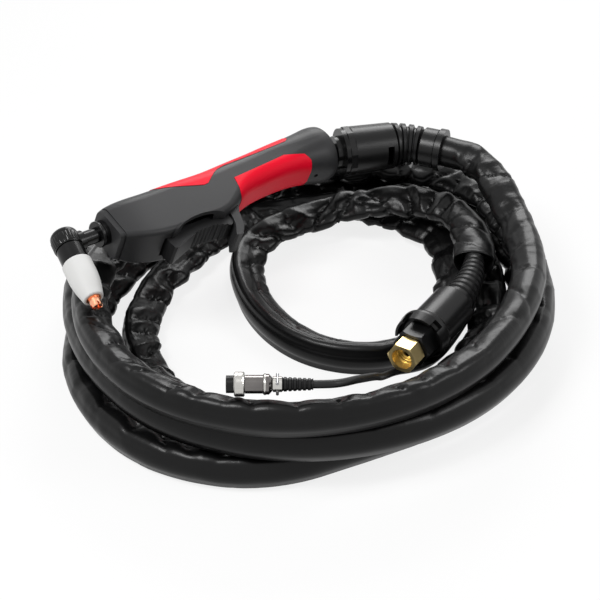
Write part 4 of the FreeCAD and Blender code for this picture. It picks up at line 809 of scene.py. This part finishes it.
def makeHeadCap(s):
    # band of fine ridges round the head's cap, to turn it by
    foot = s["radius"] - s["sunk"]
    crown = s["radius"] + s["crown"]
    profile = [(s["from"], foot), (s["from"], s["radius"]), (s["from"] + s["soft"], crown),
               (s["to"] - s["soft"], crown), (s["to"], s["radius"]), (s["to"], foot), (s["from"], foot)]
    band = worked("headCapRidges", s["sides"], profile)

    def ridge(v):
        inner = s["from"] + s["soft"] / 2 < v.z < s["to"] - s["soft"] / 2
        onRidge = sideOf(v, s["sides"]) % s["ridgeEvery"] < s["ridgeWide"]
        return inner and v.xy.length > s["radius"] and onRidge

    press(band, ridge, s["ridge"])
    settle(band, onAxis(s["base"], s["axis"], s["side"]), finishes["gloss"], "torch")


makeHeadCap(headCap)

shellBand = {
    **plugPlace, "sides": 64,
    "profile": ((0.0222, 0.00595), (0.0222, 0.00618), (0.0224, 0.00634), (0.0228, 0.00640), (0.0232, 0.00634),
                (0.0234, 0.00618), (0.0234, 0.00595), (0.0222, 0.00595)),
}


def makeShellBand(s):
    # rounded bead at the back of the plug's shell
    band = worked("plugShellBand", s["sides"], s["profile"])
    settle(band, onAxis(s["base"], s["axis"], s["side"]), finishes["nickel"], "lead")


makeShellBand(shellBand)
makeCable(cableRoute)  # after the plug's own pieces


# Floor and light
def seenLevel(f, dim, bright):
    # seen directly or in a reflection: bright; lighting everything else: dim
    seen = f.add("ShaderNodeLightPath", out="Is Camera Ray")
    for kind in ("Is Glossy Ray", "Is Transmission Ray"):
        seen = f.sum("MAXIMUM", seen, f.add("ShaderNodeLightPath", out=kind))
    return seen * (bright - dim) + dim


def setRoom(s):
    room = Finish("room", "Background", True, Color=(1, 1, 1, 1))
    room.set("Strength", seenLevel(room, s["worldLight"], 1.0))
    bpy.context.scene.world = room.material
    bpy.ops.object.select_all(action="DESELECT")
    bpy.ops.mesh.primitive_plane_add(size=s["floorSize"], location=(0, 0, 0))
    floor = bpy.context.object
    floor.name = "floor"
    paint = Finish("paleFloor", Base_Color=(0.9, 0.9, 0.9, 1), Roughness=0.9, Specular_IOR_Level=0.0)
    glow = paint.add("ShaderNodeEmission", None, {"Color": (1, 1, 1, 1)})
    plain = Reading(paint, paint.shader.outputs["BSDF"])
    mixed = paint.add("ShaderNodeMixShader", None,
                      {0: seenLevel(paint, 0.0, s["floorGlow"]), 1: plain, 2: glow})
    paint.join(paint.tree.nodes["Material Output"].inputs["Surface"], mixed)
    floor.data.materials.append(paint.material)
    for name, place, size, power in s["lamps"]:
        data = bpy.data.lights.new(name, "AREA")
        data.size = size
        data.energy = power
        lamp = bpy.data.objects.new(name, data)
        lamp.location = place
        lamp.rotation_euler = (Vector(s["aim"]) - Vector(place)).to_track_quat("-Z", "Y").to_euler()
        bpy.context.scene.collection.objects.link(lamp)


roomSettings = {
    "worldLight": 0.20, "floorGlow": 0.82, "floorSize": 6.0, "aim": (0, 0, 0.03),
    # each lamp's name, place, size in metres and power in watts
    "lamps": (("key", (-0.55, -0.45, 1.15), 0.45, 13.0), ("fill", (0.95, -0.35, 0.75), 0.45, 4.0),
              ("rim", (0.15, 1.05, 0.85), 0.60, 8.0)),
}
setRoom(roomSettings)
print("floor and lamps set")

bpy.context.view_layer.update()
